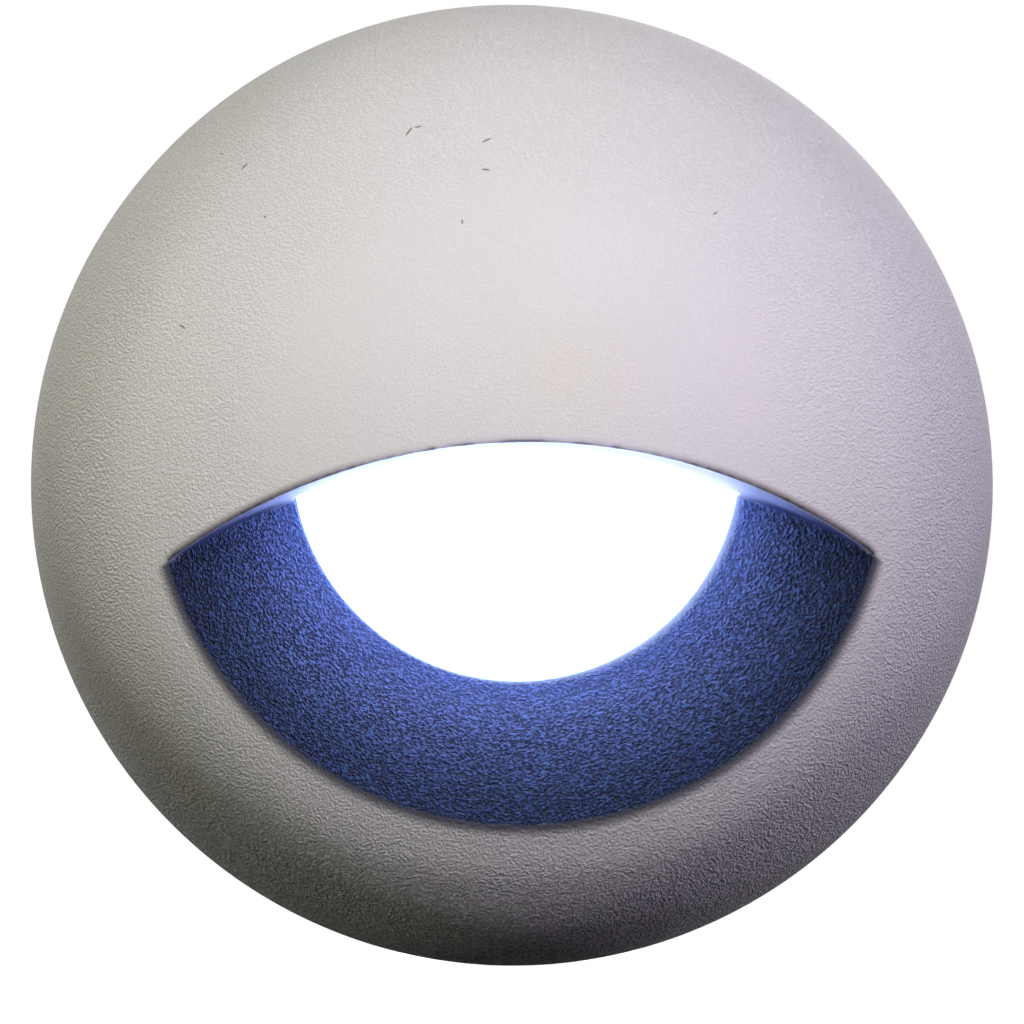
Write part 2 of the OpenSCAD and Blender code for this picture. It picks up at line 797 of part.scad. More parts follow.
// Half outline of the rear cap: a disc with a snap bead and a skirt with the O-ring's groove
module rear_cap_outline() {
    plug_r = bore_r - rear_clear;
    difference() {
        union() {
            translate([waist_r + grommet_clear, rear_face])
                square([plug_r - waist_r - grommet_clear, rear_cap_t]);
            translate([skirt_inner_r, rear_face])
                square([plug_r - skirt_inner_r, rear_cap_t + skirt_h]);
            translate([plug_r - bead_w, bead_z - bead_w / 2])
                square([bead_r - plug_r + bead_w, bead_w]);
        }
        translate([rear_groove_r, rear_ring_z - rear_groove_w / 2])
            square([rear_ring_d + past, rear_groove_w]);
    }
}

module rear_cap() {
    color("#3b3d41") in_wall() rotate_extrude() rear_cap_outline();
}

module rear_o_ring() {
    color("#1b1c1e") in_wall() o_ring(rear_ring_d, rear_ring_z);
}

module cable_grommet() {
    tail_z = rear_face - grommet_tail;
    color("#1b1c1e") in_wall()
        rotate_extrude()
            polygon([
                [cable_r, tail_z],
                [waist_r, tail_z],
                [lip_r, rear_face - grommet_out_t],
                [lip_r, rear_face],
                [waist_r, rear_face],
                [waist_r, rear_cap_front],
                [lip_r, rear_cap_front],
                [lip_r, rear_cap_front + grommet_in_t],
                [cable_r, rear_cap_front + grommet_in_t]
            ]);
}

hood_cap();
lens();
lens_gasket();
lens_retainer();
cap_o_ring();
snap_ring();
housing();
wall_gasket();
grip_sleeve();
light_cup();
led_packages();
led_windows();
led_board();
board_screws();
board_resistors();
thermal_pad();
lead_positive();
lead_negative();
lead_bushes();
solder_joints();
driver_board();
driver_screws();
bridge_rectifier();
inductor();
driver_chip();
smoothing_capacitor();
driver_resistors();
feed_pads();
rear_cap();
rear_o_ring();
cable_grommet();
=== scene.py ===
import json
import math
import bpy
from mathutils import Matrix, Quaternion, Vector


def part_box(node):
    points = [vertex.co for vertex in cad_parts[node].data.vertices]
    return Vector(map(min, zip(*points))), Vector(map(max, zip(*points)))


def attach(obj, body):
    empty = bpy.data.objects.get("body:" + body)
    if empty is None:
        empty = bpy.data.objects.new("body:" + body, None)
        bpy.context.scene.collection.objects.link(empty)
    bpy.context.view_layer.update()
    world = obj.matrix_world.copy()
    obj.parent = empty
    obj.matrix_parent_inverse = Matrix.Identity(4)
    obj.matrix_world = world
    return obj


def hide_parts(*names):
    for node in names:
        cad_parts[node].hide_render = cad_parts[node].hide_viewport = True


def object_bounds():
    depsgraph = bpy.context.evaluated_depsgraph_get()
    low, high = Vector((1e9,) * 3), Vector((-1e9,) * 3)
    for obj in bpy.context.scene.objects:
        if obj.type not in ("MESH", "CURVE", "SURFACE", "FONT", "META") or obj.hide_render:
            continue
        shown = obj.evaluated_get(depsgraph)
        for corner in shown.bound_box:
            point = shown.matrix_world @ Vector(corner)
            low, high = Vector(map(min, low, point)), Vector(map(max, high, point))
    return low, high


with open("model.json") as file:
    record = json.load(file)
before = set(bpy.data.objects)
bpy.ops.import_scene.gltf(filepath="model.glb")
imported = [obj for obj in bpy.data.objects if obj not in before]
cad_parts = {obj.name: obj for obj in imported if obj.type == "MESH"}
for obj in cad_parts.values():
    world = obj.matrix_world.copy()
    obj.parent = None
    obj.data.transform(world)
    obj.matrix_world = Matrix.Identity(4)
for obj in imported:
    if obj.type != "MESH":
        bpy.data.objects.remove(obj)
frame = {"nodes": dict(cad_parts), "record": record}        # nodes and the imported record
cadLow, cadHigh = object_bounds()
nodes = frame["nodes"]
millimetre = 0.001
seam = 0.0004            # points of a spun seam nearer than this are one, in millimetres
sliver = 0.0005          # faces and edges smaller than this are closed up
cutReach = 1             # how far a cutter runs past the surface that it cuts

# Pieces are modelled in millimetres, where Blender's tools are at home, and end in metres.
# A corner of an outline is (radius, height in front of the wall, rounding). The wall is y = 0
# and heights run towards -Y.


def boxOf(node):
    low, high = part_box(node)
    return low / millimetre, high / millimetre


def deselectAll():
    if bpy.context.mode != "OBJECT":
        bpy.ops.object.mode_set(mode="OBJECT")
    bpy.ops.object.select_all(action="DESELECT")


def makeActive(piece):
    deselectAll()
    piece.select_set(True)
    bpy.context.view_layer.objects.active = piece


def namedPrimitive(name):
    piece = bpy.context.object
    piece.name = name
    piece.data.name = name
    return piece


def arc(centre, radius, start, end, steps):
    # Points on an arc, angles in degrees from the radius axis towards the front
    points = []
    for step in range(steps + 1):
        angle = math.radians(start + (end - start) * step / steps)
        away = radius * math.cos(angle), radius * math.sin(angle)
        points.append((centre[0] + away[0], centre[1] + away[1], 0))
    return points


def softened(corners, steps=4):
    # The outline's points with each corner rounded by its own radius
    points = []
    for i, (radius, height, soft) in enumerate(corners):
        here = Vector((radius, height))
        if not soft:
            points.append(here)
            continue
        before = (Vector(corners[i - 1][:2]) - here).normalized()
        after = (Vector(corners[(i + 1) % len(corners)][:2]) - here).normalized()
        half = before.angle(after) / 2
        centre = here + (before + after).normalized() * soft / math.sin(half)
        first = here + before * soft / math.tan(half) - centre
        last = here + after * soft / math.tan(half) - centre
        turn = first.angle(last)
        for step in range(steps + 1):
            share = step / steps
            blend = first * math.sin((1 - share) * turn) + last * math.sin(share * turn)
            points.append(centre + blend / math.sin(turn))
    return points


def drawOutline(name, corners, filled=False):
    # One vertex, extruded from corner to corner and closed
    points = [Vector((p.x, -p.y, 0)) for p in softened(corners)]
    deselectAll()
    bpy.ops.mesh.primitive_plane_add(size=0.01, location=points[0])
    outline = namedPrimitive(name)
    bpy.ops.object.mode_set(mode="EDIT")
    bpy.ops.mesh.select_mode(type="VERT")
    bpy.ops.mesh.select_all(action="SELECT")
    bpy.ops.mesh.merge(type="CENTER")
    for here, there in zip(points, points[1:]):
        bpy.ops.mesh.extrude_region_move(TRANSFORM_OT_translate={"value": there - here})
    bpy.ops.mesh.select_all(action="SELECT")
    bpy.ops.mesh.edge_face_add()
    if not filled:
        bpy.ops.mesh.delete(type="ONLY_FACE")
    return outline


def closeUp():
    # Joins the seam of a spun shape and turns its faces outwards
    bpy.ops.mesh.select_all(action="SELECT")
    bpy.ops.mesh.remove_doubles(threshold=seam)
    bpy.ops.mesh.normals_make_consistent(inside=False)
    bpy.ops.object.mode_set(mode="OBJECT")


def turned(name, corners, turns=192, rise=0, across=0):
    # A piece turned on the barrel's axis, or on one that lies above and beside it
    piece = drawOutline(name, corners)
    bpy.ops.mesh.select_all(action="SELECT")
    bpy.ops.mesh.spin(steps=turns, angle=2 * math.pi, center=(0, 0, 0), axis=(0, 1, 0))
    closeUp()
    piece.location.x += across
    piece.location.z += rise
    applyPlace(piece)
    return piece


def applyPlace(piece):
    makeActive(piece)
    bpy.ops.object.transform_apply(location=True, rotation=True, scale=True)


def applyModifier(piece, kind, **settings):
    makeActive(piece)
    modifier = piece.modifiers.new(kind.lower(), kind)
    for name, value in settings.items():
        setattr(modifier, name, value)
    bpy.ops.object.modifier_apply(modifier=modifier.name)


def ringOutline(inner, outer, low, high):
    return [(inner, low, 0), (outer, low, 0), (outer, high, 0), (inner, high, 0)]


def grooved(radius, groove):
    # A groove in a bore or a plug, met on the way to the front
    return ringOutline(radius, groove[0], *groove[1:])


def rod(name, radius, low, high, **place):
    return turned(name, ringOutline(0, radius, low, high), **place)


def combine(piece, tool, operation):
    applyModifier(piece, "BOOLEAN", operation=operation, object=tool, solver="MANIFOLD")
    bpy.data.objects.remove(tool)


def closeSlivers(piece):
    # Booleans leave slivers along their seams
    makeActive(piece)
    bpy.ops.object.mode_set(mode="EDIT")
    bpy.ops.mesh.select_all(action="SELECT")
    bpy.ops.mesh.dissolve_degenerate(threshold=sliver)
    bpy.ops.mesh.remove_doubles(threshold=sliver)
    bpy.ops.mesh.delete_loose()
    bpy.ops.object.mode_set(mode="OBJECT")


def paint(piece, slot):
    piece.data.materials.clear()
    piece.data.materials.append(finishes[slot])


def finishPiece(piece, body, slot, replaced, smoothAngle=35):
    closeSlivers(piece)
    paint(piece, slot)
    piece.scale = [millimetre] * 3
    applyPlace(piece)
    bpy.ops.object.shade_smooth_by_angle(angle=math.radians(smoothAngle))
    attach(piece, body)
    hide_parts(replaced)
    triangles = sum(len(face.vertices) - 2 for face in piece.data.polygons)
    print("made", piece.name, "with", triangles, "triangles")


# Node tools, with which the patterns and the finishes are wired


def feed(tree, value, socket):
    # A number, a colour, a vector or what another node puts out goes into a socket
    if isinstance(value, (int, float)):
        socket.default_value = value
    elif isinstance(value, tuple):
        socket.default_value = (*value, 1) if socket.type == "RGBA" else value
    else:
        tree.links.new(value, socket)


def addNode(tree, kind, values=None, **settings):
    # A node with its inputs fed by name or number, and what it puts out
    made = tree.nodes.new(kind)
    for name, value in settings.items():
        setattr(made, name, value)
    for socket, value in (values or {}).items():
        feed(tree, value, made.inputs[socket])
    return made.outputs


def combineValues(tree, operation, first, second=0):
    return addNode(tree, "ShaderNodeMath", {0: first, 1: second}, operation=operation)["Value"]


def product(tree, first, *others):
    for other in others:
        first = combineValues(tree, "MULTIPLY", first, other)
    return first


def mixColours(tree, share, first, second):
    return addNode(tree, "ShaderNodeMix", {0: share, 6: first, 7: second}, data_type="RGBA")[2]


def mixValues(tree, share, first, second):
    return addNode(tree, "ShaderNodeMix", {0: share, 2: first, 3: second}, data_type="FLOAT")[0]


def mapRange(tree, value, fromRange, toRange, kind):
    values = {"Value": value, "From Min": fromRange[0], "From Max": fromRange[1]}
    values.update({"To Min": toRange[0], "To Max": toRange[1]})
    return addNode(tree, "ShaderNodeMapRange", values, interpolation_type=kind)["Result"]


def spread(tree, value, low, high, start=0, end=1):
    return mapRange(tree, value, (start, end), (low, high), "LINEAR")


def softStep(tree, value, start, end, low=0, high=1):
    return mapRange(tree, value, (start, end), (low, high), "SMOOTHSTEP")


def partsOf(tree, vector):
    return addNode(tree, "ShaderNodeSeparateXYZ", {"Vector": vector})


def combineVectors(tree, operation, first, second):
    return addNode(tree, "ShaderNodeVectorMath", {0: first, 1: second}, operation=operation)["Vector"]


def scaleVector(tree, vector, scale):
    values = {"Vector": vector, "Scale": scale}
    return addNode(tree, "ShaderNodeVectorMath", values, operation="SCALE")["Vector"]


def noiseAt(tree, place, **values):
    return addNode(tree, "ShaderNodeTexNoise", {"Vector": place, **values}, normalize=True)["Fac"]


def cellsOf(tree, size):
    # A noise scale that makes cells of the given size
    return combineValues(tree, "DIVIDE", 1, size)


def inMillimetres(tree):
    return scaleVector(tree, addNode(tree, "ShaderNodeTexCoord")["Object"], 1 / millimetre)


def radiusFrom(tree, place, centre):
    # Distance in millimetres from a point, or from a line along y where the point has no y
    away = combineVectors(tree, "SUBTRACT", place, tuple(value or 0 for value in centre))
    flat = combineVectors(tree, "MULTIPLY", away, (1, 0 if centre[1] is None else 1, 1))
    return addNode(tree, "ShaderNodeVectorMath", {0: flat}, operation="LENGTH")["Value"]


# Patterns that several finishes share, as node groups on Object coordinates in millimetres


def newGroup(name, inputs, outputs):
    # inputs gives each socket's type and default, and outputs each socket's type
    group = bpy.data.node_groups.new(name, "ShaderNodeTree")
    for socket, (kind, default) in inputs.items():
        made = group.interface.new_socket(socket, in_out="INPUT", socket_type="NodeSocket" + kind)
        made.default_value = default
    for socket, kind in outputs.items():
        group.interface.new_socket(socket, in_out="OUTPUT", socket_type="NodeSocket" + kind)
    return group, group.nodes.new("NodeGroupInput").outputs, group.nodes.new("NodeGroupOutput").inputs


reliefNoise = {
    "grain": {"Detail": 1.5, "Roughness": 0.45, "Distortion": 0.35},
    "swell": {"Detail": 1, "Roughness": 0.5},
    "swellScale": 0.4,
}


def reliefGroup():
    # The leathery relief of a textured coat or a spark-eroded mould, with a slower swell in it
    group, start, end = newGroup(
        "coatRelief",
        {"Size": ("Float", 0.14), "Swell": ("Float", 0.25)},
        {"Height": "Float"},
    )
    place = inMillimetres(group)
    scale = cellsOf(group, start["Size"])
    wider = product(group, scale, reliefNoise["swellScale"])
    grain = noiseAt(group, place, Scale=scale, **reliefNoise["grain"])
    swell = noiseAt(group, place, Scale=wider, **reliefNoise["swell"])
    group.links.new(mixValues(group, start["Swell"], grain, swell), end["Height"])
    return group


driftNoise = {"Detail": 5, "Roughness": 0.6}


def driftGroup():
    # A slow change of tone over a surface, with a finer mottle on top
    group, start, end = newGroup(
        "toneDrift",
        {
            "Size": ("Float", 6),
            "Contrast": ("Float", 1),
            "Light": ("Color", (1, 1, 1, 1)),
            "Dark": ("Color", (0.5, 0.5, 0.5, 1)),
        },
        {"Color": "Color", "Drift": "Float"},
    )
    scale = cellsOf(group, start["Size"])
    slow = noiseAt(group, inMillimetres(group), Scale=scale, **driftNoise)
    centred = combineValues(group, "SUBTRACT", slow, 0.5)
    stretched = combineValues(group, "ADD", product(group, centred, start["Contrast"]), 0.5)
    drift = addNode(group, "ShaderNodeClamp", {"Value": stretched})["Result"]
    group.links.new(mixColours(group, drift, start["Dark"], start["Light"]), end["Color"])
    group.links.new(drift, end["Drift"])
    return group


grainRoughness = 0.6


def grainGroup():
    # Fine noise for the bump and gloss of moulded, blasted and cast surfaces
    group, start, end = newGroup(
        "fineGrain",
        {"Size": ("Float", 0.1), "Detail": ("Float", 3)},
        {"Height": "Float"},
    )
    scale = cellsOf(group, start["Size"])
    values = {"Scale": scale, "Detail": start["Detail"], "Roughness": grainRoughness}
    group.links.new(noiseAt(group, inMillimetres(group), **values), end["Height"])
    return group


ringNoise = {
    "height": {"Detail": 2, "Roughness": 0.5},
    "shine": {"Detail": 2, "Scale": 1.5},
}


def latheGroup():
    # Rings left by the tool on a turned barrel, round its axis, each a little uneven
    group, start, end = newGroup(
        "latheRings",
        {"Pitch": ("Float", 0.08), "Wobble": ("Float", 0.05)},
        {"Height": "Float", "Shine": "Float"},
    )
    parts = partsOf(group, inMillimetres(group))
    across, up = (combineValues(group, "POWER", parts[axis], 2) for axis in "XZ")
    radius = combineValues(group, "SQRT", combineValues(group, "ADD", across, up))
    turn = combineValues(group, "ARCTAN2", parts["Z"], parts["X"])
    uneven = product(group, combineValues(group, "SINE", turn), start["Wobble"])
    onRing = addNode(group, "ShaderNodeCombineXYZ", {"X": radius, "Y": parts["Y"], "Z": uneven})["Vector"]
    scale = cellsOf(group, start["Pitch"])
    group.links.new(noiseAt(group, onRing, Scale=scale, **ringNoise["height"]), end["Height"])
    group.links.new(noiseAt(group, onRing, **ringNoise["shine"]), end["Shine"])
    return group


dust = {
    "colour": (0.62, 0.59, 0.54),
    "amount": 0.12,
    "facing": (0.1, 0.95),
    "noise": {"Scale": 1.3, "Detail": 8, "Roughness": 0.7},
    "band": (0.35, 0.75),
}


def dustGroup():
    # Dust that has settled on what faces upwards, thicker where the noise is high
    group, start, end = newGroup("settledDust", {"Amount": ("Float", 0.3)}, {"Dust": "Float"})
    facing = partsOf(group, addNode(group, "ShaderNodeTexCoord")["Normal"])
    upwards = softStep(group, facing["Z"], *dust["facing"])
    patches = spread(group, noiseAt(group, inMillimetres(group), **dust["noise"]), 0, 1, *dust["band"])
    group.links.new(product(group, upwards, patches, start["Amount"]), end["Dust"])
    return group


groups = {
    "coatRelief": reliefGroup(),
    "toneDrift": driftGroup(),
    "fineGrain": grainGroup(),
    "latheRings": latheGroup(),
    "settledDust": dustGroup(),
}

# Finishes: one material for each of the record's slots


def newFinish(name, **sockets):
    finish = bpy.data.materials.new(name)
    finish.use_nodes = True
    shader = finish.node_tree.nodes["Principled BSDF"]
    for socket, value in sockets.items():
        shader.inputs[socket].default_value = value
    return finish, finish.node_tree, shader


def placeGroup(tree, name, **values):
    return addNode(tree, "ShaderNodeGroup", values, node_tree=groups[name])


def addBump(tree, shader, height, depth):
    # Depth in millimetres. A second call lies on top of the first
    values = {"Strength": 1, "Distance": depth * millimetre, "Height": height}
    normal = shader.inputs["Normal"]
    if normal.is_linked:
        values["Normal"] = normal.links[0].from_socket
    tree.links.new(addNode(tree, "ShaderNodeBump", values)["Normal"], normal)


# Lengths in millimetres. A range is where a change starts and ends, and then its values there where
# they aren't 0 and 1. In a roughness the values come first
coat = {
    "tones": {"Light": (0.79, 0.78, 0.775), "Dark": (0.75, 0.742, 0.735), "Size": 7, "Contrast": 1.6},
    "gloss": 0.08,
    "roughness": (0.62, 0.78, 0.3, 0.7),
    "fineGrain": {"Size": 0.06, "Detail": 2},
    "relief": {"Size": 0.088, "Swell": 0.18},
    "lowRelief": {"Size": 0.095, "Swell": 0.1},
    "recessRelief": {"Size": 0.108, "Swell": 0.2},
    "reliefDepth": 0.1,
    "reliefGain": {"front": 0.6, "side": 1.3, "recess": 2.1},
    # How much lighter ridges and darker valleys are painted, as painted light and shade of the relief
    "ridgeLightTone": {"front": 0.045, "side": 0.1, "recess": 1.6},
    "ridgeBand": (0.4, 0.7, -0.4, 1),
    "sideBand": (0.98, 0.72),
    "lowGain": 3.4,
    "lowBand": (-0.2, -0.9),
    "lowLightTone": 0.5,
    "warmPatch": {"place": (1.6, -8.8, 3.0), "reach": (0.4, 3.2, 0.8, 0), "colour": (0.77, 0.76, 0.69)},
    # Painted shade: the coat is painted darker towards its back rim at the wall
    "edgeShade": (0.4, 0.4, 0.38),
    "edgeShadeHeight": (2.0, 0.9, 0, 0.45),
    "lint": (0.3, 0.285, 0.27),
    "lintWidth": 0.045,
    "lintHeight": 8,
    "lintEdge": (0.5, 1, 1, 0),
}

# The recess: its shape as it is cut below, and its colours, with painted light and shade
recess = {
    "crownRadius": 29.8,
    "crownBack": 20.8,
    "coneSlope": 1.3151,
    "coneFoot": (7.4, 3.0),
    "hoodArc": (20.2, -19.44),
    "mouthReach": (12.3, 12.6, 1, 0),
    "mouthDepth": (0.0, 0.11),
    "hoodDepth": (0.008, 0.03),
    # The wall's deep blue paint, painted lighter near the window as painted glow and darker outwards as
    # painted shade
    "wallNear": (0.046, 0.062, 0.158),
    "wallFar": (0.0028, 0.0042, 0.022),
    "wallGlowReach": (7.3, 11.6),
    "clouds": (
        {"colour": (0.01, 0.038, 0.08), "scale": 4.6, "band": (0.5, 0.7)},
        {"colour": (0.03, 0.02, 0.085), "scale": 6.2, "band": (0.52, 0.72)},
    ),
    "cloudNoise": {"Detail": 3, "Roughness": 0.7},
    "cloudShare": 0.5,
    # Painted shade in the recess's corners
    "corner": (0, 0, 0.004),
    "cornerShadeReach": (7.0, 11.4, 0, 0.5),
    # A paler colour painted on the recess's ridges, a painted highlight
    "ridge": (0.018, 0.045, 0.105),
    "ridgeHighlightShare": 0.4,
    "calm": (7.4, 10, 0.42, 1),
    # A paler ring at the window's lip, a painted glow of the window
    "lip": (0.19, 0.2, 0.25),
    "lipGlowMiddle": (0.22, None, 0.62),
    "lipGlowReach": (7.2, 7.5, 1, 0),
    # The hood's underside: painted light from the window, fading into painted shade towards the wall and
    # the corners
    "underMiddle": (0.2, 0.135, 0.07),
    "underSide": (0.12, 0.12, 0.2),
    "underSideReach": (5.5, 8.2),
    "hoodCornerShade": (0.01, 0.013, 0.05),
    "underShadeFade": (-3.2, -0.5),
    "underShadeFadeReach": (6.9, 8.6),
    "hoodCornerShadeReach": (7.5, 10.4),
    "underFacing": (-0.25, -0.5),
    # A painted shadow line along the hood's edge, faint in the middle and dark to the sides
    "shadowLineMiddle": (0.66, 0.64, 0.7),
    "shadowLineSide": (0.16, 0.14, 0.15),
    "shadowLineSideReach": (3, 8.5),
    "shadowLineBand": ((-0.32, -0.02), (0.03, 0.12, 1, 0)),
    "shadowLineDepth": (0.08, 0.7, 1, 0),
    "shadowLineEnds": (11.2, 11.75, 0.9, 0),
    # Painted shade on the dome just outside the recess's lower edge
    "rimShade": (0.034, 0.038, 0.066),
    "rimReach": (0.0, 0.68, 0.95, 0),
    "rimBelowHood": (-0.05, 0.1),
}

window = {
    "rise": 0.75,
    "strength": 24,
    "lamp": (0.45, 0.6, 1.0),
    "seen": (0.0437, 0.0437, 0.044),
    "glass": (0.86, 0.9, 0.97),
    "frost": (0.9, 0.93, 0.98),
    "frostGrain": {"Size": 0.12, "Detail": 3},
    "frostDepth": 0.01,
    "roughness": (0.48, 0.62),
}

# Fibres in the coat: right and up from the axis, angle in degrees and half length, in millimetres
lintFibres = (
    (-3.5, 11.1, 52, 0.26), (-3.2, 11.25, 12, 0.16), (-1.0, 10.75, 24, 0.22), (-1.05, 9.75, -6, 0.17),
    (6.4, 8.3, 42, 0.1), (-8.85, 10.1, 46, 0.18), (-10.9, 4.8, -40, 0.15), (-8.2, 8.35, 85, 0.06),
    (-1.85, 8.0, 88, 0.1), (-9.6, 10.6, 10, 0.07),
)


def recessWall(tree, place, fromWindow, sides):
    # Deep blue paint in teal and violet clouds, painted lighter near the window as painted glow, and
    # darker outwards and in the corners as painted shade
    near = spread(tree, fromWindow, 0, 1, *recess["wallGlowReach"])
    wall = mixColours(tree, near, recess["wallNear"], recess["wallFar"])
    for cloud in recess["clouds"]:
        noise = noiseAt(tree, place, Scale=cloud["scale"], **recess["cloudNoise"])
        share = spread(tree, noise, 0, recess["cloudShare"], *cloud["band"])
        wall = mixColours(tree, share, wall, cloud["colour"])
    return mixColours(tree, softStep(tree, sides, *recess["cornerShadeReach"]), wall, recess["corner"])


def hoodUnderside(tree, fromCone, sides):
    # Painted light on the hood's underside: warm in the middle and bluer to the sides, with painted shade
    # towards the wall and in the corners
    toSide = softStep(tree, sides, *recess["underSideReach"])
    under = mixColours(tree, toSide, recess["underMiddle"], recess["underSide"])
    toWallShade = softStep(tree, fromCone, *recess["underShadeFade"])
    toWallShade = product(tree, toWallShade, softStep(tree, sides, *recess["underShadeFadeReach"]))
    toCornerShade = softStep(tree, sides, *recess["hoodCornerShadeReach"])
    toCornerShade = combineValues(tree, "MAXIMUM", toWallShade, toCornerShade)
    return mixColours(tree, toCornerShade, under, recess["hoodCornerShade"])


def recessColours(tree, place, facing, outside):
    # The wall, with painted glow and shade, the underside of the hood, with painted light and shade,
    # a painted shadow line along the hood's edge, and a painted shade on the rounded edge that the coat
    # runs over. Also gives where the recess is, and how much of the relief is left there
    fromWindow = radiusFrom(tree, place, (0, None, window["rise"]))
    sides = combineValues(tree, "ABSOLUTE", facing["x"])
    wall = recessWall(tree, place, fromWindow, sides)
    # A paler ring at the window's lip, a painted glow of the window
    lip = softStep(tree, radiusFrom(tree, place, recess["lipGlowMiddle"]), *recess["lipGlowReach"])
    wall = mixColours(tree, lip, wall, recess["lip"])
    footRadius, footHeight = recess["coneFoot"]
    height = combineValues(tree, "SUBTRACT", facing["height"], footHeight)
    coneRadius = combineValues(tree, "ADD", product(tree, height, recess["coneSlope"]), footRadius)
    fromCone = combineValues(tree, "SUBTRACT", fromWindow, coneRadius)
    under = hoodUnderside(tree, fromCone, sides)
    fromCrown = radiusFrom(tree, place, (0, recess["crownBack"], 0))
    depth = combineValues(tree, "SUBTRACT", recess["crownRadius"], fromCrown)
    isUnder = softStep(tree, facing["up"], *recess["underFacing"])
    inReach = softStep(tree, radiusFrom(tree, place, (0, None, 0)), *recess["mouthReach"])
    cut = mixValues(tree, isUnder, softStep(tree, depth, *recess["mouthDepth"]),
                    softStep(tree, depth, *recess["hoodDepth"]))
    inside = product(tree, cut, inReach)
    hoodRadius, hoodMiddle = recess["hoodArc"]
    fromHood = radiusFrom(tree, place, (0, None, hoodMiddle))
    fromHood = combineValues(tree, "SUBTRACT", hoodRadius, fromHood)
    # The painted shade lies outside the cone and below the hood
    shade = product(tree, softStep(tree, fromCone, *recess["rimReach"]), inReach,
                    softStep(tree, fromHood, *recess["rimBelowHood"]))
    colour = mixColours(tree, shade, outside, recess["rimShade"])
    colour = mixColours(tree, inside, colour, mixColours(tree, isUnder, wall, under))
    # A painted shadow line along the hood's edge, faint in the middle and dark to the sides
    above, below = (softStep(tree, fromHood, *band) for band in recess["shadowLineBand"])
    line = product(tree, above, below, softStep(tree, depth, *recess["shadowLineDepth"]),
                   softStep(tree, sides, *recess["shadowLineEnds"]))
    toSide = softStep(tree, sides, *recess["shadowLineSideReach"])
    shadowLineColour = mixColours(tree, toSide, recess["shadowLineMiddle"], recess["shadowLineSide"])
    # No relief on the hood's underside and edge or on the window's lip, and less near the window
    smooth = combineValues(tree, "MAXIMUM", product(tree, inside, isUnder), line)
    smooth = combineValues(tree, "MAXIMUM", smooth, product(tree, inside, lip))
    calm = softStep(tree, fromWindow, *recess["calm"])
    calm = product(tree, calm, combineValues(tree, "SUBTRACT", 1, smooth))
    return mixColours(tree, line, colour, shadowLineColour), inside, calm


def lintMarks(tree, place):
    marks = 0
    deep = coat["lintHeight"]
    for right, up, angle, half in lintFibres:
        values = {"Vector": place, "Location": (right, -deep, up)}
        values["Rotation"] = (0, math.radians(-angle), 0)
        values["Scale"] = (half, deep, coat["lintWidth"])
        along = addNode(tree, "ShaderNodeMapping", values, vector_type="TEXTURE")["Vector"]
        mark = softStep(tree, radiusFrom(tree, along, (0, 0, 0)), *coat["lintEdge"])
        marks = combineValues(tree, "MAXIMUM", marks, mark)
    return marks


def byZone(tree, amounts, side, inside):
    # A value for the face, for the sides and for the recess, each running into the next
    outer = spread(tree, side, amounts["front"], amounts["side"])
    return mixValues(tree, inside, outer, amounts["recess"])


def texturedCoat():
    finish, tree, shader = newFinish("texturedCoat")
    shader.inputs["Specular IOR Level"].default_value = coat["gloss"]
    place = inMillimetres(tree)
    parts = partsOf(tree, place)
    normal = partsOf(tree, addNode(tree, "ShaderNodeTexCoord")["Normal"])
    facing = {"x": parts["X"], "height": product(tree, parts["Y"], -1), "up": normal["Z"]}
    patch = coat["warmPatch"]
    warm = softStep(tree, radiusFrom(tree, place, patch["place"]), *patch["reach"])
    colour = placeGroup(tree, "toneDrift", **coat["tones"])["Color"]
    colour = mixColours(tree, warm, colour, patch["colour"])
    colour = mixColours(tree, lintMarks(tree, place), colour, coat["lint"])
    # Painted shade: darker towards the back rim at the wall, so that the outline reads dark
    edgeShade = softStep(tree, facing["height"], *coat["edgeShadeHeight"])
    colour = mixColours(tree, edgeShade, colour, coat["edgeShade"])
    colour, inside, calm = recessColours(tree, place, facing, colour)
    # The relief is shallow on the face, deeper on the sides and below, and deepest in the recess
    low = softStep(tree, normal["Z"], *coat["lowBand"])
    side = softStep(tree, product(tree, normal["Y"], -1), *coat["sideBand"])
    relief = placeGroup(tree, "coatRelief", **coat["relief"])["Height"]
    for zone, share in (("lowRelief", low), ("recessRelief", inside)):
        grain = placeGroup(tree, "coatRelief", **coat[zone])["Height"]
        relief = mixValues(tree, share, relief, grain)
    # Painted light and shade on the relief: ridges are painted lighter and valleys darker, most in the
    # recess and below, and the recess's ridges are painted paler as painted highlights
    ridge = softStep(tree, relief, *coat["ridgeBand"])
    amount = byZone(tree, coat["ridgeLightTone"], side, inside)
    amount = combineValues(tree, "ADD", amount, product(tree, low, coat["lowLightTone"]))
    tone = combineValues(tree, "ADD", product(tree, ridge, amount, calm), 1)
    pale = product(tree, inside, softStep(tree, ridge, 0, 1, 0, recess["ridgeHighlightShare"]), calm)
    colour = mixColours(tree, pale, scaleVector(tree, colour, tone), recess["ridge"])
    tree.links.new(colour, shader.inputs["Base Color"])
    fine = placeGroup(tree, "fineGrain", **coat["fineGrain"])["Height"]
    tree.links.new(spread(tree, fine, *coat["roughness"]), shader.inputs["Roughness"])
    gain = product(tree, byZone(tree, coat["reliefGain"], side, inside), calm,
                   spread(tree, low, 1, coat["lowGain"]))
    centred = combineValues(tree, "SUBTRACT", relief, 0.5)    # so that the gain makes no step
    addBump(tree, shader, product(tree, centred, gain), coat["reliefDepth"])
    return finish


